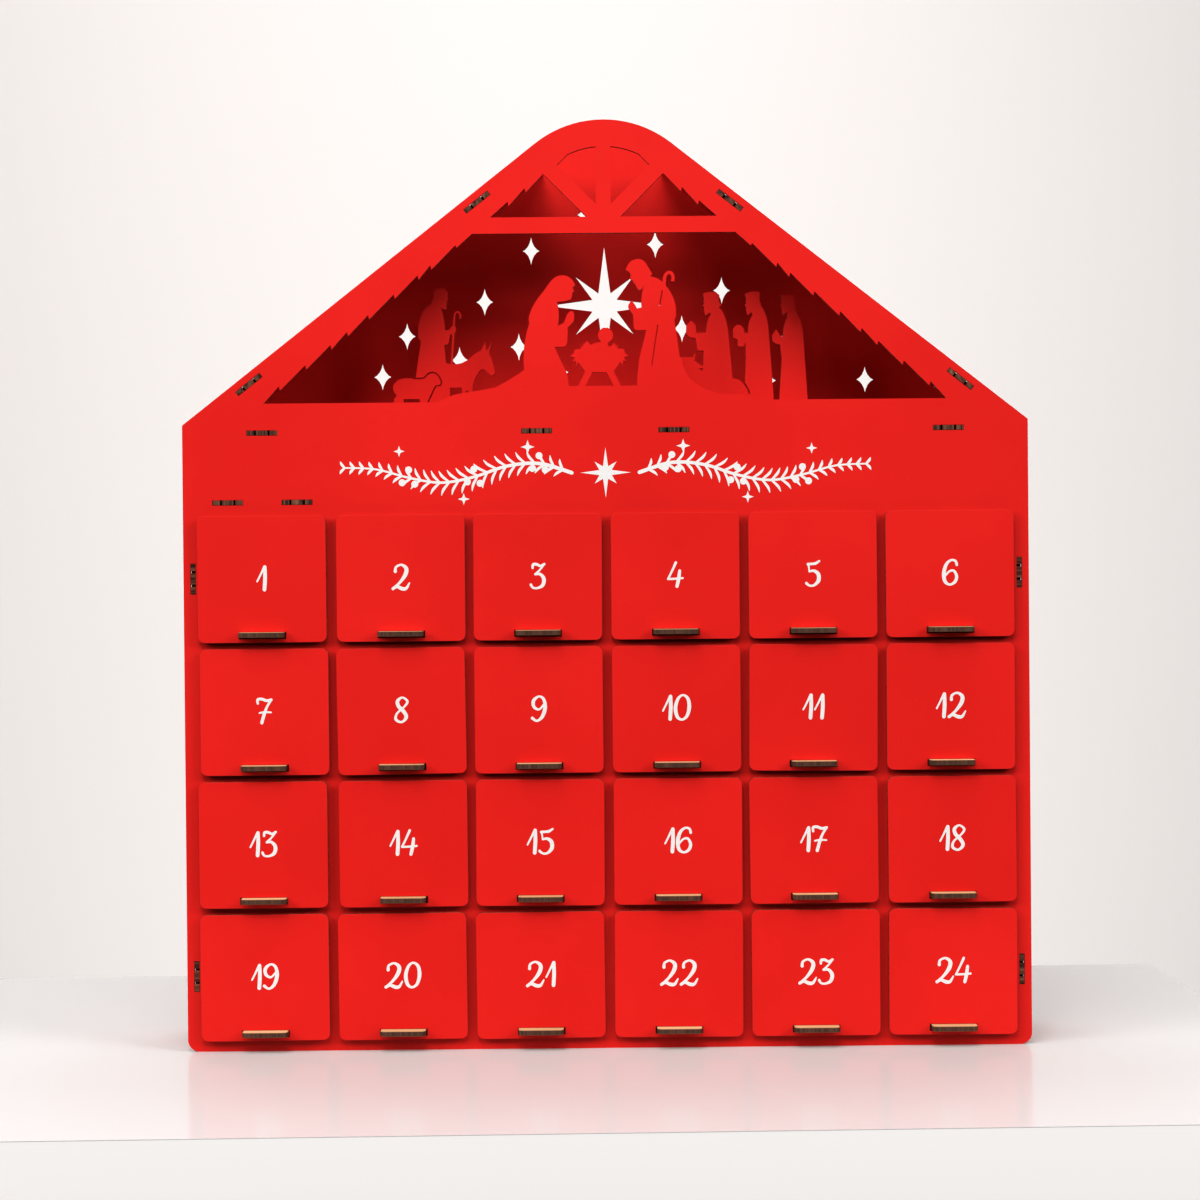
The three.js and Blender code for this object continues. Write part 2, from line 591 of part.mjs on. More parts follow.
function thirdKing() {
  return kingSteps(111.9,
    [[-5.1, 61.8], [-5.5, 64.7], [2.5, 64.3], [1.9, 61], [3.2, 58.2], [2.6, 55.6]],
    [[-7.3, 0], [-5.5, 27], [-6.1, 30.8], [-6.4, 35]],
    [[-8.8, 35.4], [-11, 36.8], [-11.2, 40.6], [-8.7, 44.2], [-6.1, 40.2], [-4.8, 39.8],
      [-4.6, 46.4, -2, 51.4]],
    [[4.2, 53.4], [7.4, 47.6, 7.6, 39], [10, 0]]);
}

/** Resting ox behind the first king, with one horn and its muzzle to the right. */
function oxSteps() {
  return [[43.4, 0], [43.4, 28.2], [53, 27.8], [54, 29.6, 54.8, 30.4], [54, 25.6], [57.2, 23.6], [60, 21.6],
    [56.4, 20.8], [61, 18.4], [64, 12], [64, 0]];
}

function kingsCutout() {
  const y = CUTOUT_DEPTH;
  const trainLine = slit([[81.8, 13.8], [84, 11.6], [86, 8.4], [86.9, 5.6]], y, 6);
  const outlines = [firstKing(), secondKing(), thirdKing(), oxSteps()];
  const joined = [...outlines.map((steps) => figure(steps, y)), ...sheetFoot(45, 122, kingsTabs, y)];
  addMesh('kings_cutout', joinAndCut(joined, [trainLine]), shadedBoard);
}

// Back panel with its see-through stars

// Small stars, as x from the middle and height above the sill
const SMALL_STARS = [[-44.4, 98.8], [-73.4, 67.4], [-121.6, 46.5], [-137, 21.5], [-89.3, 31.6], [-52.5, 39.5],
  [32.5, 102.3], [73.4, 73.5], [48.6, 50], [101.4, 17.6], [161.8, 17.6], [-10.5, 121], [-27.1, 23.6],
  [115.4, 44.7]];

function smallStar(x, z) {
  const points = [[0, 1], [1, 0], [0, -1], [-1, 0]];
  const steps = [[x, z + STAR_HALF_HEIGHT]];
  for (let i = 0; i < points.length; i += 1) {
    const [u, v] = points[i];
    const [nextU, nextV] = points[(i + 1) % points.length];
    const waist = [(u + nextU) * STAR_WAIST, (v + nextV) * STAR_WAIST];
    steps.push([x + waist[0] * STAR_HALF_WIDTH, z + waist[1] * STAR_HALF_HEIGHT,
      x + nextU * STAR_HALF_WIDTH, z + nextV * STAR_HALF_HEIGHT]);
  }
  return hole(steps);
}

function bigStar() {
  const x = BIG_STAR_SHIFT * figureScale;
  const z = sill + BIG_STAR_HEIGHT * figureScale;
  const quarter = Math.PI / 2;
  const corners = [[0, BIG_STAR_LONG], [BIG_STAR_RAY, BIG_STAR_INNER], [quarter / 2, BIG_STAR_SHORT],
    [quarter - BIG_STAR_RAY, BIG_STAR_INNER]];
  const steps = [0, 1, 2, 3].flatMap((turns) => corners.map(([turn, radius]) => {
    const angle = turns * quarter + turn;
    return [x + radius * Math.sin(angle), z + radius * Math.cos(angle)];
  }));
  return hole(steps);
}

/** Opening behind the battery shelf, through which a light string's battery box goes in. */
function batteryHatch() {
  const width = columnPitch - BOARD - 2 * BATTERY_HATCH_MARGIN;
  const height = BANNER_HEIGHT - BOARD - BATTERY_HATCH_MARGIN;
  return hole(rectangle(columnX(0), (shelfUnder + BOARD + floorUnder) / 2, width, height));
}

function backPanel() {
  const shape = houseOutline();
  shape.holes.push(...carcassSlots(), batteryHatch(), bigStar());
  for (const x of tabColumns) shape.holes.push(slot(x, BASE_RISE + BOARD / 2));
  for (let row = 1; row < ROWS; row += 1) {
    for (const x of shelfColumns) shape.holes.push(slot(x, shelfTop(row) - BOARD / 2));
  }
  for (const [x, height] of SMALL_STARS) {
    shape.holes.push(smallStar(x * figureScale, sill + height * figureScale));
  }
  addMesh('back_panel', uprightBoard(shape, backInner, BOARD, panelSegments, starSegments), shadedBoard);
}

// Sides, roof and the boards between them

const boardFront = frontInner + FIT;
const boardBack = backInner - FIT;
const middleDepth = (boardFront + boardBack) / 2;

function sideBoards() {
  const tabs = { left: sideTabHeights, right: sideTabHeights };
  for (const [name, x] of [['left_side', -sideOuter], ['right_side', sideInner]]) {
    const shape = tabbedOutline(boardFront, 0, boardBack, sideTop, tabs);
    for (let row = 0; row < ROWS; row += 1) shape.holes.push(slot(middleDepth, shelfTop(row) - BOARD / 2));
    addMesh(name, sidewaysBoard(shape, x), redBoard);
  }
}

function roofBoards() {
  const end = (halfPanel - RIDGE_OPENING / 2 - OVERHANG * Math.sin(ROOF_PITCH)) / Math.cos(ROOF_PITCH);
  for (const [name, side] of [['left_roof', -1], ['right_roof', 1]]) {
    const up = (distance) => -side * distance;
    const [low, high] = [up(roofFoot), up(end)].sort((a, b) => a - b);
    const tabs = ROOF_TABS.map(up);
    const shape = tabbedOutline(low, boardFront, high, boardBack, { bottom: tabs, top: tabs });
    const roof = addMesh(name, flatBoard(shape, -OVERHANG - BOARD), redBoard);
    roof.position.set(side * halfPanel, 0, eave);
    roof.rotation.y = side * ROOF_PITCH;
  }
}

function baseBoard() {
  const edge = sideInner - FIT;
  const tabs = { top: tabColumns, left: [middleDepth], right: [middleDepth] };
  const shape = tabbedOutline(-edge, boardFront, edge, boardBack, tabs);
  addMesh('base_board', flatBoard(shape, BASE_RISE), redBoard);
}

function sceneFloor() {
  const underRoof = halfPanel - (floorTop + FIT + roofLine(0) - roofInnerLine(0) - eave) / slope;
  const edge = Math.min(sideInner - FIT, underRoof);
  const shape = tabbedOutline(-edge, boardFront, edge, boardBack, { bottom: tabColumns, top: tabColumns });
  for (const x of [...shepherdTabs, ...kingsTabs]) {
    shape.holes.push(slot(x, CUTOUT_DEPTH + BOARD / 2, 0, CUTOUT_TAB));
  }
  addMesh('scene_floor', flatBoard(shape, floorUnder), shadedBoard);
}

function batteryShelf() {
  const left = -sideInner + FIT;
  const right = dividerX[0] - BOARD / 2 - FIT;
  const shape = tabbedOutline(left, boardFront, right, boardBack, { bottom: batteryTabs, top: batteryTabs });
  addMesh('battery_shelf', flatBoard(shape, shelfUnder), shadedBoard);
}

/** Row shelves and dividers, halved into each other. */
function drawerRack() {
  const edge = sideInner - FIT;
  const tabs = { top: shelfColumns, left: [middleDepth], right: [middleDepth] };
  const boards = [];
  for (let row = 1; row < ROWS; row += 1) {
    boards.push(flatBoard(tabbedOutline(-edge, boardFront, edge, boardBack, tabs), shelfTop(row) - BOARD));
  }
  const divider = tabbedOutline(boardFront, baseTop + FIT, boardBack, floorUnder - FIT);
  for (const x of dividerX) boards.push(sidewaysBoard(divider, x - BOARD / 2));
  addMesh('drawer_rack', joinAndCut(boards), shadedBoard);
}

// Drawers

/** Front plate, with the slot that the pull comes through. */
function platePiece() {
  const [halfWidth, halfHeight] = [plateWidth / 2, plateHeight / 2];
  const [flatX, flatZ] = [halfWidth - PLATE_CORNER, halfHeight - PLATE_CORNER];
  const shape = new THREE.Shape();
  const quarter = Math.PI / 2;
  shape.absarc(-flatX, -flatZ, PLATE_CORNER, -2 * quarter, -quarter);
  shape.absarc(flatX, -flatZ, PLATE_CORNER, -quarter, 0);
  shape.absarc(flatX, flatZ, PLATE_CORNER, 0, quarter);
  shape.absarc(-flatX, flatZ, PLATE_CORNER, quarter, 2 * quarter);
  const pullZ = -openingHeight / 2 + SEAT + BOARD / 2;
  shape.holes.push(hole(rectangle(0, pullZ, PULL_WIDTH + 2 * SEAT, BOARD + 2 * SEAT)));
  return uprightBoard(shape, plateFront, BOARD, 4);
}

/** Tray: bottom board with the pull as its tongue, two sides and a back. */
function trayPiece() {
  const half = openingWidth / 2 - TRAY_PLAY;
  const bottom = -openingHeight / 2 + SEAT;
  const height = openingHeight - SEAT - TRAY_HEADROOM;
  const front = plateBack + FIT;
  const back = backInner - TRAY_BACK_GAP;
  const pull = PULL_WIDTH / 2;
  const plan = outline([
    [-half, back], [-half, front], [-pull, front], [-pull, pullTip + PULL_CORNER],
    [-pull, pullTip, -pull + PULL_CORNER, pullTip], [pull - PULL_CORNER, pullTip],
    [pull, pullTip, pull, pullTip + PULL_CORNER], [pull, front], [half, front], [half, back],
  ]);
  const top = bottom + height;
  const sideShape = outline([[front, bottom], [back, bottom], [back, top], [front, top]]);
  const backShape = outline([[-half, bottom], [half, bottom], [half, top], [-half, top]]);
  return joinAndCut([
    flatBoard(plan, bottom),
    sidewaysBoard(sideShape, -half),
    sidewaysBoard(sideShape, half - BOARD),
    uprightBoard(backShape, back - BOARD),
  ]);
}

function drawers() {
  const plate = platePiece();
  const tray = trayPiece();
  for (let row = 0; row < ROWS; row += 1) {
    for (let column = 0; column < COLUMNS; column += 1) {
      const number = String(row * COLUMNS + column + 1).padStart(2, '0');
      const drawer = new THREE.Group();
      drawer.position.set(columnX(column), 0, rowZ(row));
      addMesh(`drawer_${number}_front`, plate, redBoard, drawer);
      addMesh(`drawer_${number}_tray`, tray, bareBoard, drawer);
      meshes.add(drawer);
    }
  }
}

frontPanel();
backPanel();
sideBoards();
roofBoards();
baseBoard();
sceneFloor();
batteryShelf();
shepherdCutout();
kingsCutout();
drawerRack();
drawers();

// The origin is on the ground, midway between the tips of the pulls and the back.
meshes.position.y = -(pullTip + bodyDepth) / 2;
const calendar = new THREE.Group();
calendar.name = 'advent_calendar';
calendar.add(meshes);

export default calendar;
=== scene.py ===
"""Looks of an advent calendar: a house of laser-cut boards, with 24 drawers below a layered scene.

Lengths are metres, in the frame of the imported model: X to the right, Y to the back and Z up. The front
panel, the back panel, the sides, the roof, the floors and the scene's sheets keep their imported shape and
get their finish here. The drawers and the rack are built board by board.
"""

import logging
import math
from collections import Counter
from dataclasses import dataclass, field
from enum import Enum
from typing import Sequence

import bmesh
import bpy
from mathutils import Matrix, Vector
from mathutils.geometry import delaunay_2d_cdt


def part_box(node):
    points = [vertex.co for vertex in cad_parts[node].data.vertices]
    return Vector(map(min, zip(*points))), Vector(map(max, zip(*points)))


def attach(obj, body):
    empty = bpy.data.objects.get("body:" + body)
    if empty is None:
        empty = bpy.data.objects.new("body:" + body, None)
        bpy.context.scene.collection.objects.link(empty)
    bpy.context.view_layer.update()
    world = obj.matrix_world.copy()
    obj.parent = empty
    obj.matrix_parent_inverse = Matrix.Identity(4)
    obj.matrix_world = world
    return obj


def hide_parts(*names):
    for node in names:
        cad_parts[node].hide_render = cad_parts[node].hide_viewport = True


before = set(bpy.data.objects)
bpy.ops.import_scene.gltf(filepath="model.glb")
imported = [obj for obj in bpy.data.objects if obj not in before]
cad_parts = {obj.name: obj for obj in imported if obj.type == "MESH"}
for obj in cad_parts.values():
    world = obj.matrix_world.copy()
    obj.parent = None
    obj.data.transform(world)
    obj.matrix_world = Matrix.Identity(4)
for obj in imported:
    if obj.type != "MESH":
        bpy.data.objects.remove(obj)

log = logging.getLogger("advent_calendar")

MM = 0.001
HOUSE = "house"
HOUSE_MIDDLE = (0.0, 0.0, 0.28)
COLUMNS = 6
ROWS = 4

# How far a cut runs past a board's edge, and how near to each other two points of a plan are one
OVERCUT = 1 * MM
SAME_POINT = 1e-7
CORNER_STEPS = 8

# Angles below which faces are one flat face or one round one, and above which an edge is broken
FLAT_ANGLE = math.radians(0.5)
SMOOTH_ANGLE = math.radians(30)
BEVEL_ANGLE = math.radians(35)

Point = tuple[float, float]
Ramp = tuple[float, float]
Polygon = list[Point]
Triple = tuple[float, float, float]
Colour = Triple


class Through(Enum):
    """The direction in which a board is cut through."""

    X = 0
    Y = 1
    Z = 2

    def place(self, point: Point, depth: float) -> Vector:
        """Puts a point of a board's plan at a depth.

        Args:
            point: the two coordinates of the plan, in the order X, Y, Z without this direction.
            depth: the coordinate along this direction.

        Returns:
            The point in space.
        """
        values = list(point)
        values.insert(self.value, depth)
        return Vector(values)

    @property
    def vector(self) -> Vector:
        """The unit vector of this direction."""
        return Vector([1.0 if axis == self.value else 0.0 for axis in range(3)])


class Slot(Enum):
    """The record's material slots."""

    RED = "red_board"
    INSIDE = "red_board_inside"
    BARE = "bare_board"


# Plans: flat shapes and the slabs made of them


def signed_area(polygon: Sequence[Point]) -> float:
    """Twice the area inside a polygon, positive where it runs anticlockwise."""
    following = list(polygon[1:]) + [polygon[0]]
    return sum(a[0] * b[1] - b[0] * a[1] for a, b in zip(polygon, following))


def anticlockwise(polygon: Sequence[Point]) -> Polygon:
    """The polygon, turned round if it runs clockwise."""
    return list(polygon) if signed_area(polygon) > 0 else list(reversed(polygon))


def arc(centre: Point, radius: float, start: float, end: float, steps: int) -> Polygon:
    """Points along an arc.

    Args:
        centre: the arc's centre.
        radius: its radius.
        start: angle of the first point, in degrees.
        end: angle of the last point, in degrees.
        steps: number of straight pieces.

    Returns:
        The points, both ends included.
    """
    points = []
    for i in range(steps + 1):
        angle = math.radians(start + (end - start) * i / steps)
        points.append((centre[0] + radius * math.cos(angle), centre[1] + radius * math.sin(angle)))
    return points


def disc(centre: Point, radius: float, steps: int) -> Polygon:
    """A circle with a number of straight sides."""
    return arc(centre, radius, 0, 360 * (1 - 1 / steps), steps - 1)


def rectangle(left: float, bottom: float, right: float, top: float) -> Polygon:
    """A rectangle, anticlockwise from its lower left corner."""
    return [(left, bottom), (right, bottom), (right, top), (left, top)]


def rounded_rectangle(half_width: float, half_height: float, corner: float) -> Polygon:
    """A rectangle about the origin with round corners.

    Args:
        half_width: half of its width.
        half_height: half of its height.
        corner: the corners' radius.

    Returns:
        Its points, anticlockwise.
    """
    flat_x = half_width - corner
    flat_y = half_height - corner
    corners = [(flat_x, flat_y), (-flat_x, flat_y), (-flat_x, -flat_y), (flat_x, -flat_y)]
    points: Polygon = []
    for quarter, centre in enumerate(corners):
        points += arc(centre, corner, 90 * quarter, 90 * (quarter + 1), CORNER_STEPS)
    return points


@dataclass
class Plan:
    """A flat shape: every place inside a solid polygon and outside every hole."""

    solids: list[Polygon]
    holes: list[Polygon] = field(default_factory=list)

    def triangles(self) -> tuple[list[Point], list[list[int]]]:
        """Fills the shape.

        Returns:
            The shape's points, and its triangles as indices into them.
        """
        points: list[Vector] = []
        faces: list[list[int]] = []
        for polygon in self.solids + self.holes:
            start = len(points)
            points += [Vector(point) for point in anticlockwise(polygon)]
            faces.append(list(range(start, len(points))))
        verts, _, triangles, _, _, sources = delaunay_2d_cdt(points, [], faces, 1, SAME_POINT, True)
        solid_count = len(self.solids)
        kept = [
            list(triangle)
            for triangle, source in zip(triangles, sources)
            if source and all(index < solid_count for index in source)
        ]
        return [tuple(vert) for vert in verts], kept

    def slab(self, name: str, through: Through, low: float, high: float) -> bpy.types.Mesh:
        """Cuts the shape out of a board.

        Args:
            name: the mesh's name.
            through: the direction in which the board is cut through.
            low: the board's lowest coordinate in that direction.
            high: its highest coordinate there.

        Returns:
            A closed mesh.
        """
        points, triangles = self.triangles()
        used = sorted({index for triangle in triangles for index in triangle})
        renumbered = {index: place for place, index in enumerate(used)}
        triangles = [[renumbered[index] for index in triangle] for triangle in triangles]
        count = len(used)
        verts = [through.place(points[index], depth) for depth in (low, high) for index in used]
        edges = Counter((a, b) for tri in triangles for a, b in zip(tri, tri[1:] + tri[:1]))
        rim = [(a, b) for a, b in edges if (b, a) not in edges]
        faces = [list(reversed(triangle)) for triangle in triangles]
        faces += [[index + count for index in triangle] for triangle in triangles]
        faces += [[a, b, b + count, a + count] for a, b in rim]
        mesh = bpy.data.meshes.new(name)
        mesh.from_pydata(verts, [], faces)
        tidy = bmesh.new()
        tidy.from_mesh(mesh)
        flat = [edge for edge in tidy.edges if len(edge.link_faces) == 2]
        bmesh.ops.dissolve_limit(tidy, angle_limit=FLAT_ANGLE, verts=tidy.verts, edges=flat)
        bmesh.ops.recalc_face_normals(tidy, faces=tidy.faces)
        tidy.to_mesh(mesh)
        tidy.free()
        mesh.shade_smooth()
        mesh.set_sharp_from_angle(angle=SMOOTH_ANGLE)
        return mesh


# Finishes


class Graph:
    """A material's nodes, with short calls for what the finishes share."""

    def __init__(self, name: str) -> None:
        """Starts an empty material with a shader on its output.

        Args:
            name: the material's name.
        """
        self.material = bpy.data.materials.new(name)
        self.material.use_nodes = True
        self.tree = self.material.node_tree
        self.tree.nodes.clear()
        self.shader = self.add("ShaderNodeBsdfPrincipled")
        output = self.add("ShaderNodeOutputMaterial")
        self.tree.links.new(self.shader.outputs["BSDF"], output.inputs["Surface"])

    def add(self, kind: str, **settings: object) -> bpy.types.Node:
        """Adds a node.

        Args:
            kind: the node's type.
            settings: its properties by name.

        Returns:
            The node.
        """
        node = self.tree.nodes.new(kind)
        for key, value in settings.items():
            setattr(node, key, value)
        return node

    def feed(self, socket: bpy.types.NodeSocket, value: object) -> None:
        """Links a socket to another one, or sets its value.

        Args:
            socket: the input.
            value: the output that it is linked to, or a plain value.
        """
        if isinstance(value, bpy.types.NodeSocket):
            self.tree.links.new(value, socket)
        elif isinstance(value, tuple) and len(value) == 3 and socket.type == "RGBA":
            socket.default_value = (*value, 1.0)
        else:
            socket.default_value = value

    def place(self, stretch: Triple = (1.0, 1.0, 1.0), spread: float = 7.0) -> bpy.types.NodeSocket:
        """Coordinates of the surface in the object's own frame.

        Args:
            stretch: factors along X, Y and Z.
            spread: how far apart copies of one mesh get their places, or 0 for none.

        Returns:
            The coordinates' socket.
        """
        spot = self.add("ShaderNodeTexCoord").outputs["Object"]
        if spread:
            own = self.add("ShaderNodeObjectInfo").outputs["Random"]
            spot = self.vector("ADD", spot, self.maths("MULTIPLY", own, spread))
        return self.vector("MULTIPLY", spot, stretch)

    def vector(self, operation: str, a: object, b: object) -> bpy.types.NodeSocket:
        """A sum or product of vectors.

        Args:
            operation: which of them.
            a: the first vector, as a socket or a value.
            b: the second one.

        Returns:
            The result's socket, which is a number for a dot product.
        """
        node = self.add("ShaderNodeVectorMath", operation=operation)
        self.feed(node.inputs[0], a)
        self.feed(node.inputs[1], b)
        return node.outputs["Value"] if operation == "DOT_PRODUCT" else node.outputs["Vector"]

    def maths(self, operation: str, a: object, b: object = 0.0, c: object = 0.0) -> bpy.types.NodeSocket:
        """A sum, product or other function of numbers.

        Args:
            operation: which of them.
            a: the first number, as a socket or a value.
            b: the second one, where the operation takes it.
            c: the third one, where the operation takes it.

        Returns:
            The result's socket.
        """
        node = self.add("ShaderNodeMath", operation=operation)
        for socket, value in zip(node.inputs, (a, b, c)):
            self.feed(socket, value)
        return node.outputs["Value"]

    def noise(self, spot: bpy.types.NodeSocket, scale: float, detail: float = 3.0) -> bpy.types.NodeSocket:
        """Cloudy noise from 0 to 1.

        Args:
            spot: the coordinates.
            scale: clouds in a metre.
            detail: number of finer layers.

        Returns:
            The noise's socket.
        """
        node = self.add("ShaderNodeTexNoise")
        self.feed(node.inputs["Vector"], spot)
        node.inputs["Scale"].default_value = scale
        node.inputs["Detail"].default_value = detail
        return node.outputs["Fac"]

    def band(self, value: bpy.types.NodeSocket, low: float, high: float) -> bpy.types.NodeSocket:
        """A ramp from 0 at one value to 1 at another one, and flat beyond them.

        Args:
            value: the socket that runs along the ramp.
            low: where it is 0.
            high: where it is 1.

        Returns:
            The ramp's socket.
        """
        node = self.add("ShaderNodeMapRange")
        self.feed(node.inputs["Value"], value)
        node.inputs["From Min"].default_value = low
        node.inputs["From Max"].default_value = high
        return node.outputs["Result"]

    def mix(self, share: object, a: object, b: object) -> bpy.types.NodeSocket:
        """A colour between two others.

        Args:
            share: how much it has of the second one, as a socket or a value.
            a: the first colour.
            b: the second one.

        Returns:
            The colour's socket.
        """
        node = self.add("ShaderNodeMix", data_type="RGBA")
        self.feed(node.inputs["Factor"], share)
        self.feed(node.inputs["A"], a)
        self.feed(node.inputs["B"], b)
        return node.outputs["Result"]

    def bump(self, height: bpy.types.NodeSocket, depth: float) -> None:
        """Gives the shader a relief.

        Args:
            height: the relief's socket.
            depth: its depth, in metres.
        """
        node = self.add("ShaderNodeBump")
        self.feed(node.inputs["Height"], height)
        node.inputs["Distance"].default_value = depth
        self.feed(self.shader.inputs["Normal"], node.outputs["Normal"])


@dataclass(frozen=True)
class LaserCutBoard:
    """Fibreboard with a finish on its two faces and burnt edges where the laser went through."""

    name: str
    face: Colour
    face_light: Colour
    rim: Colour
    fleck: Colour
    roughness: float
    specular: float
    char: Colour = (0.045, 0.020, 0.014)
    char_light: Colour = (0.235, 0.115, 0.068)
    face_ramp: Ramp = (0.93, 0.96)
    edge_ramp: Ramp = (0.45, 0.40)
    char_ramp: Ramp = (0.38, 0.72)
    clouds_per_metre: float = 9.0
    cloud_ramp: Ramp = (0.35, 0.65)
    flecks_per_metre: float = 620.0
    fleck_ramp: Ramp = (0.74, 0.80)
    fleck_strength: float = 0.30
    grains_per_metre: float = 1500.0
    grain_roughness: float = 0.12
    grain_height: float = 0.35
    streaks_per_metre: float = 900.0
    streak_squeeze: float = 0.04
    relief: float = 0.06 * MM

    def paint(self, graph: Graph, spot: bpy.types.NodeSocket) -> bpy.types.NodeSocket:
        """The faces' colour: soft clouds with a few flecks.

        Args:
            graph: the material's nodes.
            spot: coordinates of the surface.

        Returns:
            The colour's socket.
        """
        clouds = graph.noise(spot, self.clouds_per_metre, detail=4.0)
        paint = graph.mix(graph.band(clouds, *self.cloud_ramp), self.face, self.face_light)
        specks = graph.noise(spot, self.flecks_per_metre, detail=1.0)
        flecks = graph.band(specks, *self.fleck_ramp)
        return graph.mix(graph.maths("MULTIPLY", flecks, self.fleck_strength), paint, self.fleck)

    def streaks(self, graph: Graph, through: Vector) -> bpy.types.NodeSocket:
        """The laser's streaks, drawn out in the direction of the cut.

        Args:
            graph: the material's nodes.
            through: the unit vector square to the board's faces.

        Returns:
            The streaks' socket, from 0 to 1.
        """
        squeeze = self.streak_squeeze
        stretch = tuple(squeeze + (1 - squeeze) * (1 - abs(value)) for value in through)
        return graph.noise(graph.place(stretch), self.streaks_per_metre, detail=3.0)

    def material(self, through: Vector) -> bpy.types.Material:
        """Makes the finish for a board that is cut through in a direction.

        Args:
            through: the unit vector square to the board's faces.

        Returns:
            The material, the same one for every board of that direction.
        """
        tag = "_".join(str(round(value * 100)) for value in through)
        name = f"{self.name}_{tag}"
        if name in bpy.data.materials:
            return bpy.data.materials[name]
        graph = Graph(name)
        normal = graph.add("ShaderNodeNewGeometry").outputs["True Normal"]
        facing = graph.maths("ABSOLUTE", graph.vector("DOT_PRODUCT", normal, tuple(through)))
        on_face = graph.band(facing, *self.face_ramp)
        on_edge = graph.band(facing, *self.edge_ramp)

        spot = graph.place()
        grain = graph.noise(spot, self.grains_per_metre, detail=2.0)
        streaks = self.streaks(graph, through)
        char = graph.mix(graph.band(streaks, *self.char_ramp), self.char, self.char_light)

        colour = graph.mix(on_face, self.rim, self.paint(graph, spot))
        colour = graph.mix(on_edge, colour, char)
        graph.feed(graph.shader.inputs["Base Color"], colour)
        rough = graph.maths("MULTIPLY_ADD", grain, self.grain_roughness, self.roughness)
        graph.feed(graph.shader.inputs["Roughness"], rough)
        graph.shader.inputs["Specular IOR Level"].default_value = self.specular
        burnt = graph.maths("MULTIPLY", streaks, on_edge)
        graph.bump(graph.maths("MULTIPLY_ADD", grain, self.grain_height, burnt), self.relief)
        return graph.material


@dataclass(frozen=True)
class WhiteInk:
    """A thin print of matt white ink."""

    name: str = "white_ink"
    colour: Colour = (0.68, 0.67, 0.66)
    worn: Colour = (0.64, 0.61, 0.60)
    spots_per_metre: float = 900.0
    spot_ramp: Ramp = (0.55, 0.75)
    grains_per_metre: float = 1800.0
    roughness: float = 0.5
    specular: float = 0.25
    relief: float = 0.02 * MM

    def material(self) -> bpy.types.Material:
        """Makes the ink.

        Returns:
            The material, the same one for every print.
        """
        if self.name in bpy.data.materials:
            return bpy.data.materials[self.name]
        graph = Graph(self.name)
        spot = graph.place()
        thin = graph.band(graph.noise(spot, self.spots_per_metre, detail=2.0), *self.spot_ramp)
        graph.feed(graph.shader.inputs["Base Color"], graph.mix(thin, self.colour, self.worn))
        graph.shader.inputs["Roughness"].default_value = self.roughness
        graph.shader.inputs["Specular IOR Level"].default_value = self.specular
        graph.bump(graph.noise(spot, self.grains_per_metre, detail=2.0), self.relief)
        return graph.material


@dataclass(frozen=True)
class StageFinish:
    """A plain pale surface round the object."""

    name: str
    colour: Colour
    shade: Colour
    roughness: float
    specular: float
    clouds_per_metre: float = 1.2

    def material(self) -> bpy.types.Material:
        """Makes the surface.

        Returns:
            The material.
        """
        graph = Graph(self.name)
        clouds = graph.noise(graph.place(spread=0.0), self.clouds_per_metre, detail=2.0)
        graph.feed(graph.shader.inputs["Base Color"], graph.mix(clouds, self.colour, self.shade))
        graph.shader.inputs["Roughness"].default_value = self.roughness
        graph.shader.inputs["Specular IOR Level"].default_value = self.specular
        return graph.material


RED_PAINT = LaserCutBoard(
    name="red_paint",
    face=(0.585, 0.0188, 0.0145),
    face_light=(0.630, 0.0220, 0.0172),
    rim=(0.430, 0.0260, 0.0190),
    fleck=(0.660, 0.070, 0.055),
    roughness=0.46,
    specular=0.14,
)
BARE_BOARD = LaserCutBoard(
    name="bare_board",
    face=(0.490, 0.345, 0.180),
    face_light=(0.580, 0.425, 0.240),
    rim=(0.270, 0.165, 0.090),
    fleck=(0.390, 0.255, 0.140),
    roughness=0.66,
    specular=0.25,
    char=(0.062, 0.030, 0.020),
    char_light=(0.135, 0.066, 0.040),
)
INK = WhiteInk()


# Pieces


def bevel(piece: bpy.types.Object, width: float) -> None:
    """Breaks a piece's sharp edges with a narrow bevel.

    Args:
        piece: the piece.
        width: the bevel's width.
    """
    modifier = piece.modifiers.new("broken_edges", "BEVEL")
    modifier.width = width
    modifier.segments = 1
    modifier.limit_method = "ANGLE"
    modifier.angle_limit = BEVEL_ANGLE


def add_piece(
    name: str,
    mesh: bpy.types.Mesh,
    material: bpy.types.Material,
    body: str,
    place: Matrix | None = None,
) -> bpy.types.Object:
    """Adds a mesh to the scene as a piece of the object.

    Args:
        name: the piece's name.
        mesh: its mesh, which other pieces may share.
        material: its finish.
        body: the body that it moves with.
        place: where it goes, or None for a mesh that is already in place.

    Returns:
        The piece.
    """
    piece = bpy.data.objects.new(name, mesh)
    if not mesh.materials:
        mesh.materials.append(material)
    piece.matrix_world = place or Matrix.Identity(4)
    bpy.context.scene.collection.objects.link(piece)
    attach(piece, body)
    log.info("piece %s on %s", name, body)
    return piece


@dataclass
class SnapTab:
    """Three fingers with two slits between them, pushed through a slot in the next board."""

    length: float = 18 * MM
    finger: float = 4.4 * MM
    slit: float = 1.2 * MM
    slit_depth: float = 1 * MM
    reach: float = 3.1 * MM

    def profile(self) -> Polygon:
        """The tab's outline.

        Returns:
            Its points, as distances along the board's edge from the tab's middle, and out of the edge.
        """
        end = self.length / 2
        outer = end - self.finger
        inner = outer - self.slit
        half = [
            (end, 0.0), (end, self.reach), (outer, self.reach), (outer, -self.slit_depth),
            (inner, -self.slit_depth), (inner, self.reach),
        ]
        return [(-along, out) for along, out in half] + list(reversed(half))


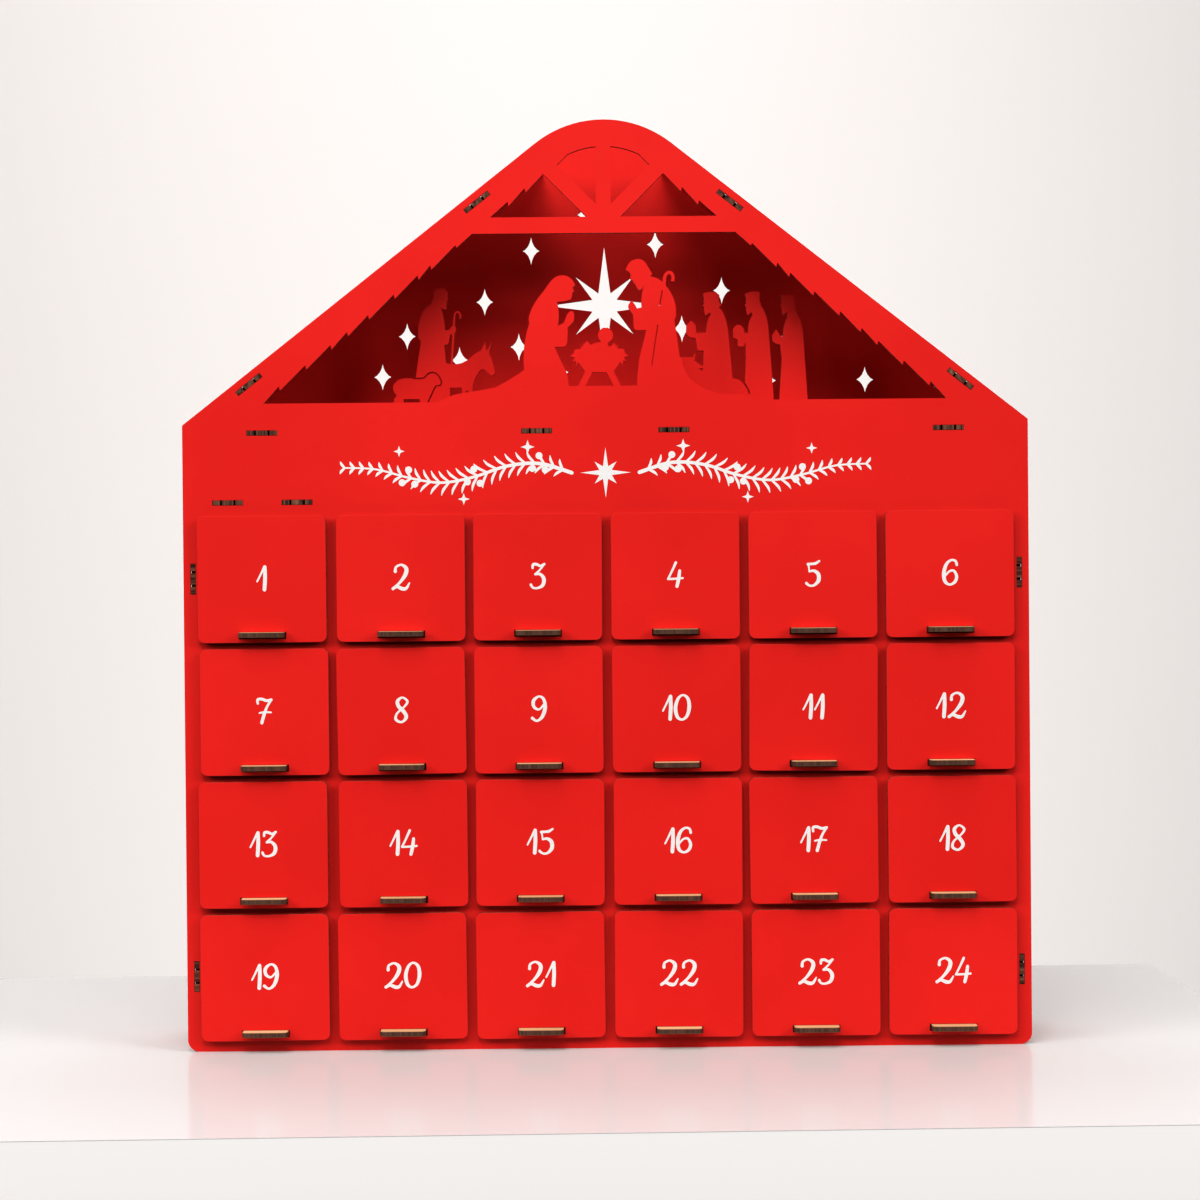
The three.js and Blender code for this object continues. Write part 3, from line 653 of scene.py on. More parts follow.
@dataclass
class Carcass:
    """The house itself: packed boards that keep their shape and get their finish."""

    broken_edge: float = 0.22 * MM
    weld_distance: float = 0.001 * MM
    inside: tuple[str, ...] = (
        "back_panel", "scene_floor", "battery_shelf", "shepherd_cutout", "kings_cutout",
    )
    outside: tuple[str, ...] = (
        "front_panel", "left_side", "right_side", "left_roof", "right_roof", "base_board",
    )

    @staticmethod
    def facing(node: bpy.types.Object) -> Vector:
        """Finds the direction in which a board is cut through.

        Args:
            node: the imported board.

        Returns:
            The direction of most of its surface.
        """
        areas: dict[tuple[float, ...], float] = {}
        for polygon in node.data.polygons:
            normal = polygon.normal if max(polygon.normal, key=abs) > 0 else -polygon.normal
            key = tuple(round(value, 3) for value in normal)
            areas[key] = areas.get(key, 0.0) + polygon.area
        return Vector(max(areas, key=areas.get))

    def build(self) -> None:
        """Gives each board its finish and breaks its edges."""
        for name in self.outside + self.inside:
            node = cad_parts[name]
            node.data.materials.clear()
            node.data.materials.append(RED_PAINT.material(self.facing(node)))
            weld = node.modifiers.new("joined_faces", "WELD")
            weld.merge_threshold = self.weld_distance
            bevel(node, self.broken_edge)
            log.info("dressed %s", name)


@dataclass
class Rack:
    """Three row shelves and five dividers, halved into each other."""

    board: float = 3 * MM
    halving_play: float = 0.15 * MM
    edge_gap: float = 0.1 * MM
    tray_play: float = 0.3 * MM
    broken_edge: float = 0.22 * MM
    tab: SnapTab = field(default_factory=SnapTab)
    left: float = field(init=False)
    right: float = field(init=False)
    front: float = field(init=False)
    back: float = field(init=False)
    bottom: float = field(init=False)
    top: float = field(init=False)
    shelf_tops: list[float] = field(init=False)
    dividers: list[float] = field(init=False)
    tab_columns: list[float] = field(init=False)

    def measure(self) -> None:
        """Takes the boards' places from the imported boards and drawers."""
        low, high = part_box("drawer_rack")
        self.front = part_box("front_panel")[1].y + self.edge_gap
        self.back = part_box("back_panel")[0].y - self.edge_gap
        self.left = low.x + self.tab.reach
        self.right = high.x - self.tab.reach
        self.bottom = low.z
        self.top = high.z
        seats = [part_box(f"drawer_{row * COLUMNS + 1:02d}_tray")[0].z for row in range(ROWS - 1)]
        self.shelf_tops = [seat - self.tray_play for seat in seats]
        boxes = [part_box(f"drawer_{column + 1:02d}_tray") for column in range(COLUMNS)]
        middles = [(box[0].x + box[1].x) / 2 for box in boxes]
        self.dividers = [(a + b) / 2 for a, b in zip(middles, middles[1:])]
        self.tab_columns = [middles[1], middles[-2]]

    def shelf_plan(self) -> Plan:
        """A shelf with its tabs, slotted from the back for the dividers.

        Returns:
            The plan, X across and Y deep.
        """
        middle = (self.front + self.back) / 2
        profile = self.tab.profile()
        outline: Polygon = [(self.left, self.front), (self.right, self.front)]
        outline += [(self.right + out, middle + along) for along, out in profile]
        outline.append((self.right, self.back))
        for x in sorted(self.tab_columns, reverse=True):
            outline += [(x - along, self.back + out) for along, out in profile]
        outline.append((self.left, self.back))
        outline += [(self.left - out, middle - along) for along, out in profile]
        half = self.board / 2 + self.halving_play
        slots = [rectangle(x - half, middle, x + half, self.back + OVERCUT) for x in self.dividers]
        return Plan([outline], slots)

    def divider_plan(self) -> Plan:
        """A divider, slotted from the front for the shelves.

        Returns:
            The plan, Y deep and Z high.
        """
        middle = (self.front + self.back) / 2
        outline = rectangle(self.front, self.bottom, self.back, self.top)
        play = self.halving_play
        start = self.front - OVERCUT
        slots = [rectangle(start, top - self.board - play, middle, top + play) for top in self.shelf_tops]
        return Plan([outline], slots)

    def build(self) -> None:
        """Builds the boards."""
        self.measure()
        shelf_plan = self.shelf_plan()
        for number, top in enumerate(self.shelf_tops, 1):
            self.add(f"rack_shelf_{number}", shelf_plan, Through.Z, top - self.board)
        divider_plan = self.divider_plan()
        for number, middle in enumerate(self.dividers, 1):
            left = middle - self.board / 2
            self.add(f"rack_divider_{number}", divider_plan, Through.X, left)
        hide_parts("drawer_rack")

    def add(self, name: str, plan: Plan, through: Through, low: float) -> bpy.types.Object:
        """Adds one board of the rack.

        Args:
            name: the piece's name.
            plan: the board's plan.
            through: the direction in which it is cut through.
            low: its lowest coordinate in that direction.

        Returns:
            The piece.
        """
        mesh = plan.slab(name, through, low, low + self.board)
        piece = add_piece(name, mesh, RED_PAINT.material(through.vector), HOUSE)
        bevel(piece, self.broken_edge)
        return piece


# Numerals and ornament, drawn as pulls of a flat brush


@dataclass(frozen=True)
class Stroke:
    """One pull of a brush: points on its middle line, each with the brush's width there."""

    points: tuple[Triple, ...]
    closed: bool = False

    def samples(self, steps: int) -> list[Triple]:
        """Places along a smooth line through the points.

        Args:
            steps: number of places between two points.

        Returns:
            Places and widths.
        """
        count = len(self.points)
        spans = count if self.closed else count - 1
        found = []
        for span in range(spans):
            corners = [self.corner(span + shift) for shift in (-1, 0, 1, 2)]
            for step in range(steps):
                found.append(self.between(corners, step / steps))
        if not self.closed:
            found.append(self.points[-1])
        return found

    def corner(self, index: int) -> Triple:
        """A point by its number, also past the ends.

        Args:
            index: the point's number, from 0.

        Returns:
            The point: a closed stroke goes round, and an open one holds on at its ends.
        """
        if self.closed:
            return self.points[index % len(self.points)]
        return self.points[min(max(index, 0), len(self.points) - 1)]

    @staticmethod
    def between(corners: list[Triple], share: float) -> Triple:
        """A place on the smooth line between the second and the third of four points.

        Args:
            corners: the four points.
            share: how far along it is, from 0 to 1.

        Returns:
            The place and its width.
        """
        square = share * share
        cube = share * share * share
        weights = (
            (-share + 2 * square - cube) / 2,
            (2 - 5 * square + 3 * cube) / 2,
            (share + 4 * square - 3 * cube) / 2,
            (-square + cube) / 2,
        )
        return tuple(sum(weight * point[i] for weight, point in zip(weights, corners)) for i in range(3))

    def polygons(self, steps: int = 8, round_steps: int = 12) -> list[Polygon]:
        """The stroke's area, as quadrilaterals along it and discs at its ends.

        Args:
            steps: number of quadrilaterals between two points.
            round_steps: number of sides of a disc.

        Returns:
            The polygons.
        """
        places = self.samples(steps)
        count = len(places)
        left: list[Point] = []
        right: list[Point] = []
        for i, (x, y, width) in enumerate(places):
            ahead = places[(i + 1) % count] if self.closed else places[min(i + 1, count - 1)]
            behind = places[i - 1] if self.closed else places[max(i - 1, 0)]
            along = Vector((ahead[0] - behind[0], ahead[1] - behind[1])).normalized()
            across = Vector((-along.y, along.x)) * width / 2
            left.append((x + across.x, y + across.y))
            right.append((x - across.x, y - across.y))
        last = count if self.closed else count - 1
        found = []
        for i in range(last):
            j = (i + 1) % count
            found.append([left[i], right[i], right[j], left[j]])
        if not self.closed:
            for x, y, width in (places[0], places[-1]):
                found.append(disc((x, y), width / 2, round_steps))
        return found


def pull(*points: Triple, closed: bool = False) -> Stroke:
    """A stroke through the given points."""
    return Stroke(points, closed)


DIGITS: dict[str, tuple[Stroke, ...]] = {
    "0": (
        pull(
            (0.38, 0.96, 0.085), (0.19, 0.83, 0.12), (0.08, 0.50, 0.15), (0.14, 0.17, 0.14),
            (0.32, 0.045, 0.09), (0.52, 0.17, 0.12), (0.62, 0.50, 0.155), (0.57, 0.83, 0.13),
            closed=True,
        ),
    ),
    "1": (
        pull((0.04, 0.38, 0.075), (0.17, 0.62, 0.08), (0.33, 0.93, 0.10)),
        pull((0.35, 0.92, 0.13), (0.35, 0.50, 0.155), (0.32, 0.075, 0.15)),
    ),
    "2": (
        pull(
            (0.16, 0.71, 0.13), (0.19, 0.87, 0.10), (0.40, 0.955, 0.09), (0.59, 0.82, 0.155),
            (0.55, 0.58, 0.16), (0.33, 0.29, 0.11), (0.06, 0.065, 0.10),
        ),
        pull(
            (0.06, 0.065, 0.12), (0.22, 0.14, 0.12), (0.42, 0.065, 0.14), (0.58, 0.075, 0.12),
            (0.71, 0.27, 0.065),
        ),
    ),
    "3": (
        pull(
            (0.12, 0.80, 0.10), (0.14, 0.92, 0.11), (0.28, 0.93, 0.11), (0.43, 0.87, 0.10),
            (0.58, 0.94, 0.10),
        ),
        pull((0.56, 0.92, 0.09), (0.40, 0.72, 0.08), (0.22, 0.56, 0.09)),
        pull(
            (0.22, 0.56, 0.09), (0.42, 0.56, 0.11), (0.56, 0.38, 0.155), (0.51, 0.15, 0.14),
            (0.31, 0.045, 0.09), (0.13, 0.06, 0.09), (0.05, 0.17, 0.11),
        ),
    ),
    "4": (
        pull((0.37, 0.95, 0.11), (0.22, 0.64, 0.09), (0.06, 0.34, 0.085)),
        pull((0.06, 0.34, 0.085), (0.30, 0.345, 0.085), (0.64, 0.37, 0.08)),
        pull((0.52, 0.64, 0.12), (0.48, 0.36, 0.145), (0.41, 0.065, 0.13)),
    ),
    "5": (
        pull((0.13, 0.85, 0.11), (0.30, 0.86, 0.10), (0.44, 0.88, 0.11), (0.58, 0.965, 0.08)),
        pull((0.14, 0.85, 0.075), (0.17, 0.70, 0.07), (0.18, 0.575, 0.07)),
        pull(
            (0.18, 0.575, 0.075), (0.36, 0.60, 0.11), (0.53, 0.48, 0.155), (0.54, 0.24, 0.155),
            (0.37, 0.065, 0.10), (0.19, 0.05, 0.09), (0.06, 0.14, 0.11),
        ),
    ),
    "6": (
        pull(
            (0.60, 0.78, 0.11), (0.55, 0.92, 0.10), (0.38, 0.955, 0.09), (0.19, 0.80, 0.13),
            (0.09, 0.48, 0.155), (0.13, 0.17, 0.14), (0.31, 0.045, 0.09), (0.51, 0.13, 0.12),
            (0.59, 0.34, 0.13), (0.49, 0.55, 0.10), (0.31, 0.54, 0.085), (0.13, 0.36, 0.08),
        ),
    ),
    "7": (
        pull(
            (0.09, 0.79, 0.10), (0.09, 0.93, 0.11), (0.25, 0.95, 0.11), (0.43, 0.89, 0.11),
            (0.62, 0.92, 0.11),
        ),
        pull((0.61, 0.91, 0.10), (0.45, 0.66, 0.10), (0.33, 0.36, 0.13), (0.24, 0.065, 0.13)),
        pull((0.15, 0.43, 0.07), (0.36, 0.46, 0.085), (0.61, 0.45, 0.065)),
    ),
    "8": (
        pull(
            (0.56, 0.86, 0.10), (0.38, 0.96, 0.08), (0.20, 0.83, 0.14), (0.24, 0.63, 0.15),
            (0.43, 0.44, 0.15), (0.53, 0.22, 0.145), (0.34, 0.045, 0.09), (0.12, 0.15, 0.12),
            (0.17, 0.37, 0.09), (0.40, 0.56, 0.08), (0.57, 0.75, 0.10),
            closed=True,
        ),
    ),
    "9": (
        pull(
            (0.52, 0.63, 0.08), (0.34, 0.47, 0.085), (0.15, 0.58, 0.13), (0.14, 0.80, 0.14),
            (0.34, 0.955, 0.085), (0.53, 0.86, 0.12), (0.59, 0.55, 0.155), (0.48, 0.21, 0.14),
            (0.27, 0.045, 0.09), (0.08, 0.15, 0.12),
        ),
    ),
}


@dataclass
class Numeral:
    """A plain number, brushed in white on a drawer's plate."""

    number: int
    height: float = 15.8 * MM
    gap: float = 0.03
    slimness: float = 0.95
    lift: float = 0.7 * MM
    ink: float = 0.06 * MM

    def plan(self) -> Plan:
        """The digits side by side, a little above the origin.

        Returns:
            The plan, X across and Z high.
        """
        placed: list[Polygon] = []
        cursor = 0.0
        for digit in str(self.number):
            polygons = [polygon for stroke in DIGITS[digit] for polygon in stroke.polygons()]
            xs = [x for polygon in polygons for x, _ in polygon]
            shift = cursor - min(xs)
            placed += [[(x + shift, y) for x, y in polygon] for polygon in polygons]
            cursor += max(xs) - min(xs) + self.gap
        middle = (cursor - self.gap) / 2
        width = self.height * self.slimness
        rise = self.lift - self.height / 2
        solids = []
        for polygon in placed:
            solids.append([((x - middle) * width, y * self.height + rise) for x, y in polygon])
        return Plan(solids)

    def mesh(self, face: float) -> bpy.types.Mesh:
        """The print's mesh, on a face at a depth."""
        return self.plan().slab(f"numeral_{self.number:02d}", Through.Y, face - self.ink, face)


@dataclass
class BannerOrnament:
    """A white fir garland with berries and stars, in the plain band above the drawers."""

    half_length: float = 155 * MM
    ink: float = 0.06 * MM
    star: float = 15 * MM
    star_waist: float = 0.27
    short_ray: float = 0.62
    stem_start: float = 20 * MM
    stem_spans: int = 7
    stem_steps: int = 24
    stem_width: float = 2.3 * MM
    stem_taper: float = 1.3 * MM
    wave: float = 6.5 * MM
    wave_halves: float = 2.6
    wave_fade: float = 0.35
    needle: float = 9.5 * MM
    needle_gap: float = 5.2 * MM
    needle_lean: float = 52.0
    needle_root: float = 0.62
    needle_swell: float = 0.5
    needle_peak: float = 1.15
    needle_fade: float = 0.25
    needle_bend: float = 0.55
    needle_bow: float = 0.10
    needle_widths: Triple = (1.1 * MM, 1.7 * MM, 0.6 * MM)
    berry: float = 2.1 * MM
    berry_steps: int = 24
    berry_groups: Triple = (0.20, 0.46, 0.72)
    berry_places: tuple[Point, ...] = (
        (0.0, 4.6 * MM), (3.6 * MM, -3.8 * MM), (-3.9 * MM, -2.9 * MM),
    )
    small_waist: float = 0.36
    small_stars: tuple[Triple, ...] = (
        (46 * MM, 15.5 * MM, 4.2 * MM), (84 * MM, -15 * MM, 3.6 * MM), (122 * MM, 13.5 * MM, 3.4 * MM),
    )

    def stem(self, side: int) -> Stroke:
        """The garland's stem to one side, waving outwards and thinning.

        Args:
            side: -1 for the left side and 1 for the right one.

        Returns:
            The stem.
        """
        points = []
        for i in range(self.stem_spans + 1):
            share = i / self.stem_spans
            x = self.stem_start + (self.half_length - self.stem_start) * share
            swing = math.sin(share * self.wave_halves * math.pi)
            z = self.wave * swing * (1 - self.wave_fade * share)
            points.append((side * x, z, self.stem_width - self.stem_taper * share))
        return Stroke(tuple(points))

    def needle_length(self, share: float) -> float:
        """A needle's length: the longest ones are near the middle of the stem.

        Args:
            share: how far along the stem the needle grows, from 0 to 1.

        Returns:
            The length.
        """
        hump = math.sin(math.pi * min(1.0, share * self.needle_peak))
        swell = self.needle_root + self.needle_swell * hump
        return self.needle * swell * (1 - self.needle_fade * share)

    def needles(self, stem: Stroke) -> list[Stroke]:
        """Pairs of needles along a stem.

        Args:
            stem: the garland's stem to one side.

        Returns:
            One stroke for each needle.
        """
        places = stem.samples(self.stem_steps)
        found = []
        walked = 0.0
        total = len(places)
        for i in range(1, total - 1):
            here, ahead = Vector(places[i][:2]), Vector(places[i + 1][:2])
            walked += (ahead - here).length
            if walked < self.needle_gap:
                continue
            walked = 0.0
            length = self.needle_length(i / total)
            along = (ahead - here).normalized()
            for turn in (-self.needle_lean, self.needle_lean):
                way = along.copy()
                way.rotate(Matrix.Rotation(math.radians(turn), 2))
                tip = here + way * length
                middle = here.lerp(tip, self.needle_bend) + along * length * self.needle_bow
                spots = zip((here, middle, tip), self.needle_widths)
                found.append(Stroke(tuple((spot.x, spot.y, width) for spot, width in spots)))
        return found

    def star_polygon(self, x: float, z: float, size: float, points: int, waist: float) -> Polygon:
        """A star about a place, with every other ray shorter when it has eight.

        Args:
            x: the place's distance to the right.
            z: its height.
            size: the rays' length.
            points: number of rays.
            waist: the inner corners' distance from the middle, as a share of the size.

        Returns:
            The star's outline.
        """
        found = []
        for i in range(points * 2):
            reach = size * (self.short_ray if points == 8 and i % 4 == 2 else 1.0)
            radius = reach if i % 2 == 0 else size * waist
            angle = math.pi * i / points
            found.append((x + radius * math.sin(angle), z + radius * math.cos(angle)))
        return found

    def plan(self) -> Plan:
        """The whole ornament about the origin.

        Returns:
            The plan, X across and Z high.
        """
        polygons = [self.star_polygon(0, 0, self.star, 8, self.star_waist)]
        for side in (-1, 1):
            stem = self.stem(side)
            for stroke in [stem, *self.needles(stem)]:
                polygons += stroke.polygons(steps=5, round_steps=8)
            for share in self.berry_groups:
                x, z, _ = stem.points[round(share * self.stem_spans)]
                for right, up in self.berry_places:
                    polygons.append(disc((x + right, z + up), self.berry, self.berry_steps))
            for x, z, size in self.small_stars:
                polygons.append(self.star_polygon(side * x, z, size, 4, self.small_waist))
        return Plan(polygons)

    def build(self) -> None:
        """Prints the ornament on the front panel, half way between the drawers and the scene's floor."""
        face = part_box("front_panel")[0].y
        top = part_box("scene_floor")[0].z
        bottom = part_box("drawer_01_front")[1].z
        place = Matrix.Translation((0, 0, (top + bottom) / 2))
        mesh = self.plan().slab("banner_ornament", Through.Y, face - self.ink, face)
        add_piece("banner_ornament", mesh, INK.material(), HOUSE, place)


# Drawers


@dataclass(frozen=True)
class Seat:
    """How a drawer sits: its plate glued at a tilt and off the middle, and the drawer left ajar.

    The tilt is in degrees, and a positive one lifts the right side.
    """

    tilt: float = 0.0
    sideways: float = 0.0
    ajar: float = 0.5 * MM


SEATS: dict[int, Seat] = {
    1: Seat(0.15, -0.3 * MM, 1.1 * MM), 2: Seat(0.0, 0.4 * MM), 3: Seat(-0.2),
    4: Seat(0.0, 0.0, 0.8 * MM), 5: Seat(0.1), 6: Seat(0.1, -0.2 * MM),
    7: Seat(0.1, 0.6 * MM, 0.8 * MM), 8: Seat(0.6, 0.1 * MM), 9: Seat(0.1),
    10: Seat(0.1, 0.1 * MM), 11: Seat(-0.5, -0.2 * MM), 12: Seat(-0.1, -0.2 * MM),
    13: Seat(0.1, -0.8 * MM, 0.9 * MM), 14: Seat(0.2, 0.6 * MM), 15: Seat(-0.2, 0.2 * MM),
    16: Seat(-0.1, 0.4 * MM), 17: Seat(0.3, -0.5 * MM), 18: Seat(0.2, 0.1 * MM),
    19: Seat(0.3, -0.6 * MM, 0.8 * MM), 20: Seat(0.4, -0.5 * MM), 21: Seat(0.4, -0.2 * MM),
    22: Seat(-0.2, 0.3 * MM), 23: Seat(0.0, 0.1 * MM), 24: Seat(-0.2, 0.1 * MM),
}


@dataclass
class Tray:
    """A drawer's bottom with its pull tongue, two side walls and a back wall, joined by fingers."""

    board: float = 3 * MM
    pull_width: float = 26.8 * MM
    pull_corner: float = 3 * MM
    pull_reach: float = 11.2 * MM
    play: float = 0.04 * MM
    depth_fingers: int = 7
    width_fingers: int = 7
    height_fingers: int = 5
    half: float = field(init=False)
    tip: float = field(init=False)
    front: float = field(init=False)
    back: float = field(init=False)
    bottom: float = field(init=False)
    top: float = field(init=False)

    def measure(self, middle: Vector) -> None:
        """Takes the tray's extents from the first packed tray.

        Args:
            middle: the middle of the first packed plate.
        """
        low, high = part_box("drawer_01_tray")
        self.half = (high.x - low.x) / 2
        self.tip = low.y
        self.front = low.y + self.pull_reach
        self.back = high.y
        self.bottom = low.z - middle.z
        self.top = high.z - middle.z

    @staticmethod
    def finger_spans(start: float, end: float, count: int) -> list[tuple[float, float]]:
        """Every other one of the equal spans between two places.

        Args:
            start: where the first span starts.
            end: where the last one ends.
            count: number of spans.

        Returns:
            The second span, the fourth one and so on.
        """
        width = (end - start) / count
        return [(start + i * width, start + (i + 1) * width) for i in range(1, count, 2)]

    def tongue(self) -> Polygon:
        """The pull: a tongue with two round corners, in front of the bottom board.

        Returns:
            Its outline, X across and Y deep.
        """
        pull = self.pull_width / 2
        corner = self.pull_corner
        root = self.front + OVERCUT
        left_corner = arc((-pull + corner, self.tip + corner), corner, 180, 270, CORNER_STEPS)
        right_corner = arc((pull - corner, self.tip + corner), corner, 270, 360, CORNER_STEPS)
        return [(-pull, root), *left_corner, *right_corner, (pull, root)]

    def bottom_plan(self) -> Plan:
        """The bottom board: its fingers reach out through the walls, and its tongue is the pull.

        Returns:
            The plan, X across and Y deep.
        """
        inner = self.half - self.board
        rear = self.back - self.board
        solids = [rectangle(-inner, self.front, inner, rear), self.tongue()]
        for low, high in self.finger_spans(self.front, self.back, self.depth_fingers):
            solids.append(rectangle(-self.half, low + self.play, self.half, high - self.play))
        for low, high in self.finger_spans(-self.half, self.half, self.width_fingers):
            solids.append(rectangle(low + self.play, rear - OVERCUT, high - self.play, self.back))
        return Plan(solids)

    def floor_notches(self, start: float, end: float, count: int) -> list[Polygon]:
        """A wall's notches for the bottom board's fingers.

        Args:
            start: where the wall starts.
            end: where it ends.
            count: number of spans along it.

        Returns:
            The notches.
        """
        low = self.bottom - OVERCUT
        high = self.bottom + self.board + self.play
        spans = self.finger_spans(start, end, count)
        return [rectangle(left - self.play, low, right + self.play, high) for left, right in spans]

    def side_plan(self) -> Plan:
        """A side wall, notched below for the bottom board and behind for the back wall.

        Returns:
            The plan, Y deep and Z high.
        """
        outline = rectangle(self.front, self.bottom, self.back, self.top)
        notches = self.floor_notches(self.front, self.back, self.depth_fingers)
        rear = self.back - self.board - self.play
        end = self.back + OVERCUT
        for low, high in self.finger_spans(self.bottom, self.top, self.height_fingers):
            notches.append(rectangle(rear, low - self.play, end, high + self.play))
        return Plan([outline], notches)

    def back_plan(self) -> Plan:
        """The back wall: its fingers reach through the side walls, and it is notched below.

        Returns:
            The plan, X across and Z high.
        """
        inner = self.half - self.board
        solids = [rectangle(-inner, self.bottom, inner, self.top)]
        for low, high in self.finger_spans(self.bottom, self.top, self.height_fingers):
            solids.append(rectangle(-self.half, low + self.play, self.half, high - self.play))
        return Plan(solids, self.floor_notches(-self.half, self.half, self.width_fingers))

    def meshes(self) -> dict[str, bpy.types.Mesh]:
        """The boards' meshes, about a drawer's middle in X and Z.

        Returns:
            The meshes by the boards' names.
        """
        side = self.side_plan()
        boards = {
            "bottom": (self.bottom_plan(), Through.Z, self.bottom),
            "left_wall": (side, Through.X, -self.half),
            "right_wall": (side, Through.X, self.half - self.board),
            "back_wall": (self.back_plan(), Through.Y, self.back - self.board),
        }
        made = {}
        for name, (plan, through, low) in boards.items():
            made[name] = plan.slab(f"tray_{name}", through, low, low + self.board)
            made[name].materials.append(BARE_BOARD.material(through.vector))
        return made


@dataclass
class Plate:
    """A drawer's painted front plate, with a slot for the pull."""

    corner: float = 4 * MM
    slot_play: float = 0.5 * MM

    def mesh(self, tray: Tray) -> bpy.types.Mesh:
        """The plate's mesh about a drawer's middle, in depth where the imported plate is.

        Args:
            tray: the measured tray, for its pull.

        Returns:
            The mesh.
        """
        low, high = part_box("drawer_01_front")
        outline = rounded_rectangle((high.x - low.x) / 2, (high.z - low.z) / 2, self.corner)
        half_slot = tray.pull_width / 2 + self.slot_play
        sill = tray.bottom - self.slot_play
        lintel = tray.bottom + tray.board + self.slot_play
        slot = rectangle(-half_slot, sill, half_slot, lintel)
        mesh = Plan([outline], [slot]).slab("front_plate", Through.Y, low.y, high.y)
        mesh.materials.append(RED_PAINT.material(Through.Y.vector))
        return mesh


@dataclass
class DrawerSet:
    """The 24 drawers, all cut alike."""

    tray: Tray = field(default_factory=Tray)
    plate: Plate = field(default_factory=Plate)
    broken_edge: float = 0.25 * MM
    plate_sag: float = 0.5 * MM
    tray_room: float = 0.3 * MM

    def build(self) -> None:
        """Builds each drawer where its packed plate is."""
        low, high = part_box("drawer_01_front")
        self.tray.measure((low + high) / 2)
        plate_mesh = self.plate.mesh(self.tray)
        tray_meshes = self.tray.meshes()
        for number in range(1, COLUMNS * ROWS + 1):
            self.build_drawer(number, plate_mesh, tray_meshes)

    def build_drawer(
        self, number: int, plate_mesh: bpy.types.Mesh, tray_meshes: dict[str, bpy.types.Mesh]
    ) -> None:
        """Places one drawer's boards and its numeral.

        Args:
            number: the drawer's number, in reading order.
            plate_mesh: the mesh that the plates share.
            tray_meshes: the meshes that the trays' boards share.
        """
        name = f"drawer_{number:02d}"
        seat = SEATS[number]
        low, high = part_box(f"{name}_front")
        middle = (low + high) / 2
        shift = max(-self.tray_room, min(self.tray_room, seat.sideways))
        place = Matrix.Translation((middle.x + shift, -seat.ajar, middle.z))
        glued = Matrix.Translation((middle.x + seat.sideways, -seat.ajar, middle.z - self.plate_sag))
        tilted = glued @ Matrix.Rotation(-math.radians(seat.tilt), 4, "Y")
        plate = add_piece(f"{name}_plate", plate_mesh, plate_mesh.materials[0], name, tilted)
        bevel(plate, self.broken_edge)
        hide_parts(f"{name}_front")
        for part, mesh in tray_meshes.items():
            board = add_piece(f"{name}_{part}", mesh, mesh.materials[0], name, place)
            bevel(board, self.broken_edge)
            if part == "bottom":
                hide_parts(f"{name}_tray")
        print_mesh = Numeral(number).mesh(low.y)
        add_piece(f"{name}_numeral", print_mesh, INK.material(), name, tilted)


# Stage, light and camera


@dataclass
class Stage:
    """A pale glossy cabinet, turned a little, with its top painted darker than its body as painted shade,
    and a pale wall behind it.
    """

    front_edge: float = -0.263
    back_edge: float = 0.255
    right_edge: float = 0.393
    left_edge: float = -1.3
    turn: float = 1.2
    top_thickness: float = 0.4 * MM
    height: float = 0.45
    wall_distance: float = 2.8
    wall_thickness: float = 0.05
    wall_half_width: float = 6.0
    wall_foot: float = -2.0
    wall_top: float = 4.0
    # Painted shade: the top gets a mid grey, far darker than the body's white, to hold down the strong
    # light from above on the pale top
    top_finish: StageFinish = StageFinish(
        "table_top", (0.515, 0.510, 0.507), (0.528, 0.523, 0.520), roughness=0.13, specular=0.02
    )
    body_finish: StageFinish = StageFinish(
        "table_front", (0.930, 0.910, 0.895), (0.940, 0.922, 0.910), roughness=0.40, specular=0.20
    )
    wall_finish: StageFinish = StageFinish(
        "pale_wall", (0.790, 0.760, 0.748), (0.810, 0.782, 0.772), roughness=0.80, specular=0.10
    )

    def build(self) -> None:
        """Builds the table and the wall."""
        table = Plan([rectangle(self.left_edge, self.front_edge, self.right_edge, self.back_edge)])
        top = table.slab("table_top", Through.Z, -self.top_thickness, 0.0)
        body = table.slab("table_body", Through.Z, -self.height, -self.top_thickness)
        for mesh, finish in ((top, self.top_finish), (body, self.body_finish)):
            self.add(mesh, finish).rotation_euler.z = math.radians(self.turn)
        face = Plan([rectangle(-self.wall_half_width, self.wall_foot, self.wall_half_width, self.wall_top)])
        rear = self.wall_distance + self.wall_thickness
        self.add(face.slab("wall", Through.Y, self.wall_distance, rear), self.wall_finish)

    @staticmethod
    def add(mesh: bpy.types.Mesh, finish: StageFinish) -> bpy.types.Object:
        """Adds a piece of the stage.

        Args:
            mesh: its mesh, which gives it its name.
            finish: its surface.

        Returns:
            The piece.
        """
        piece = bpy.data.objects.new(mesh.name, mesh)
        mesh.materials.append(finish.material())
        bpy.context.scene.collection.objects.link(piece)
        return piece


@dataclass(frozen=True)
class SoftLight:
    """A soft box that looks at a place."""

    name: str
    location: Triple
    width: float
    height: float
    power: float
    target: Triple = HOUSE_MIDDLE
    colour: Colour = (1.0, 0.992, 0.985)

    def build(self) -> None:
        """Adds the light."""
        data = bpy.data.lights.new(self.name, "AREA")
        data.shape = "RECTANGLE"
        data.size = self.width
        data.size_y = self.height
        data.energy = self.power
        data.color = self.colour
        light = bpy.data.objects.new(self.name, data)
        light.location = self.location
        way = Vector(self.target) - Vector(self.location)
        light.rotation_euler = way.to_track_quat("-Z", "Y").to_euler()
        bpy.context.scene.collection.objects.link(light)


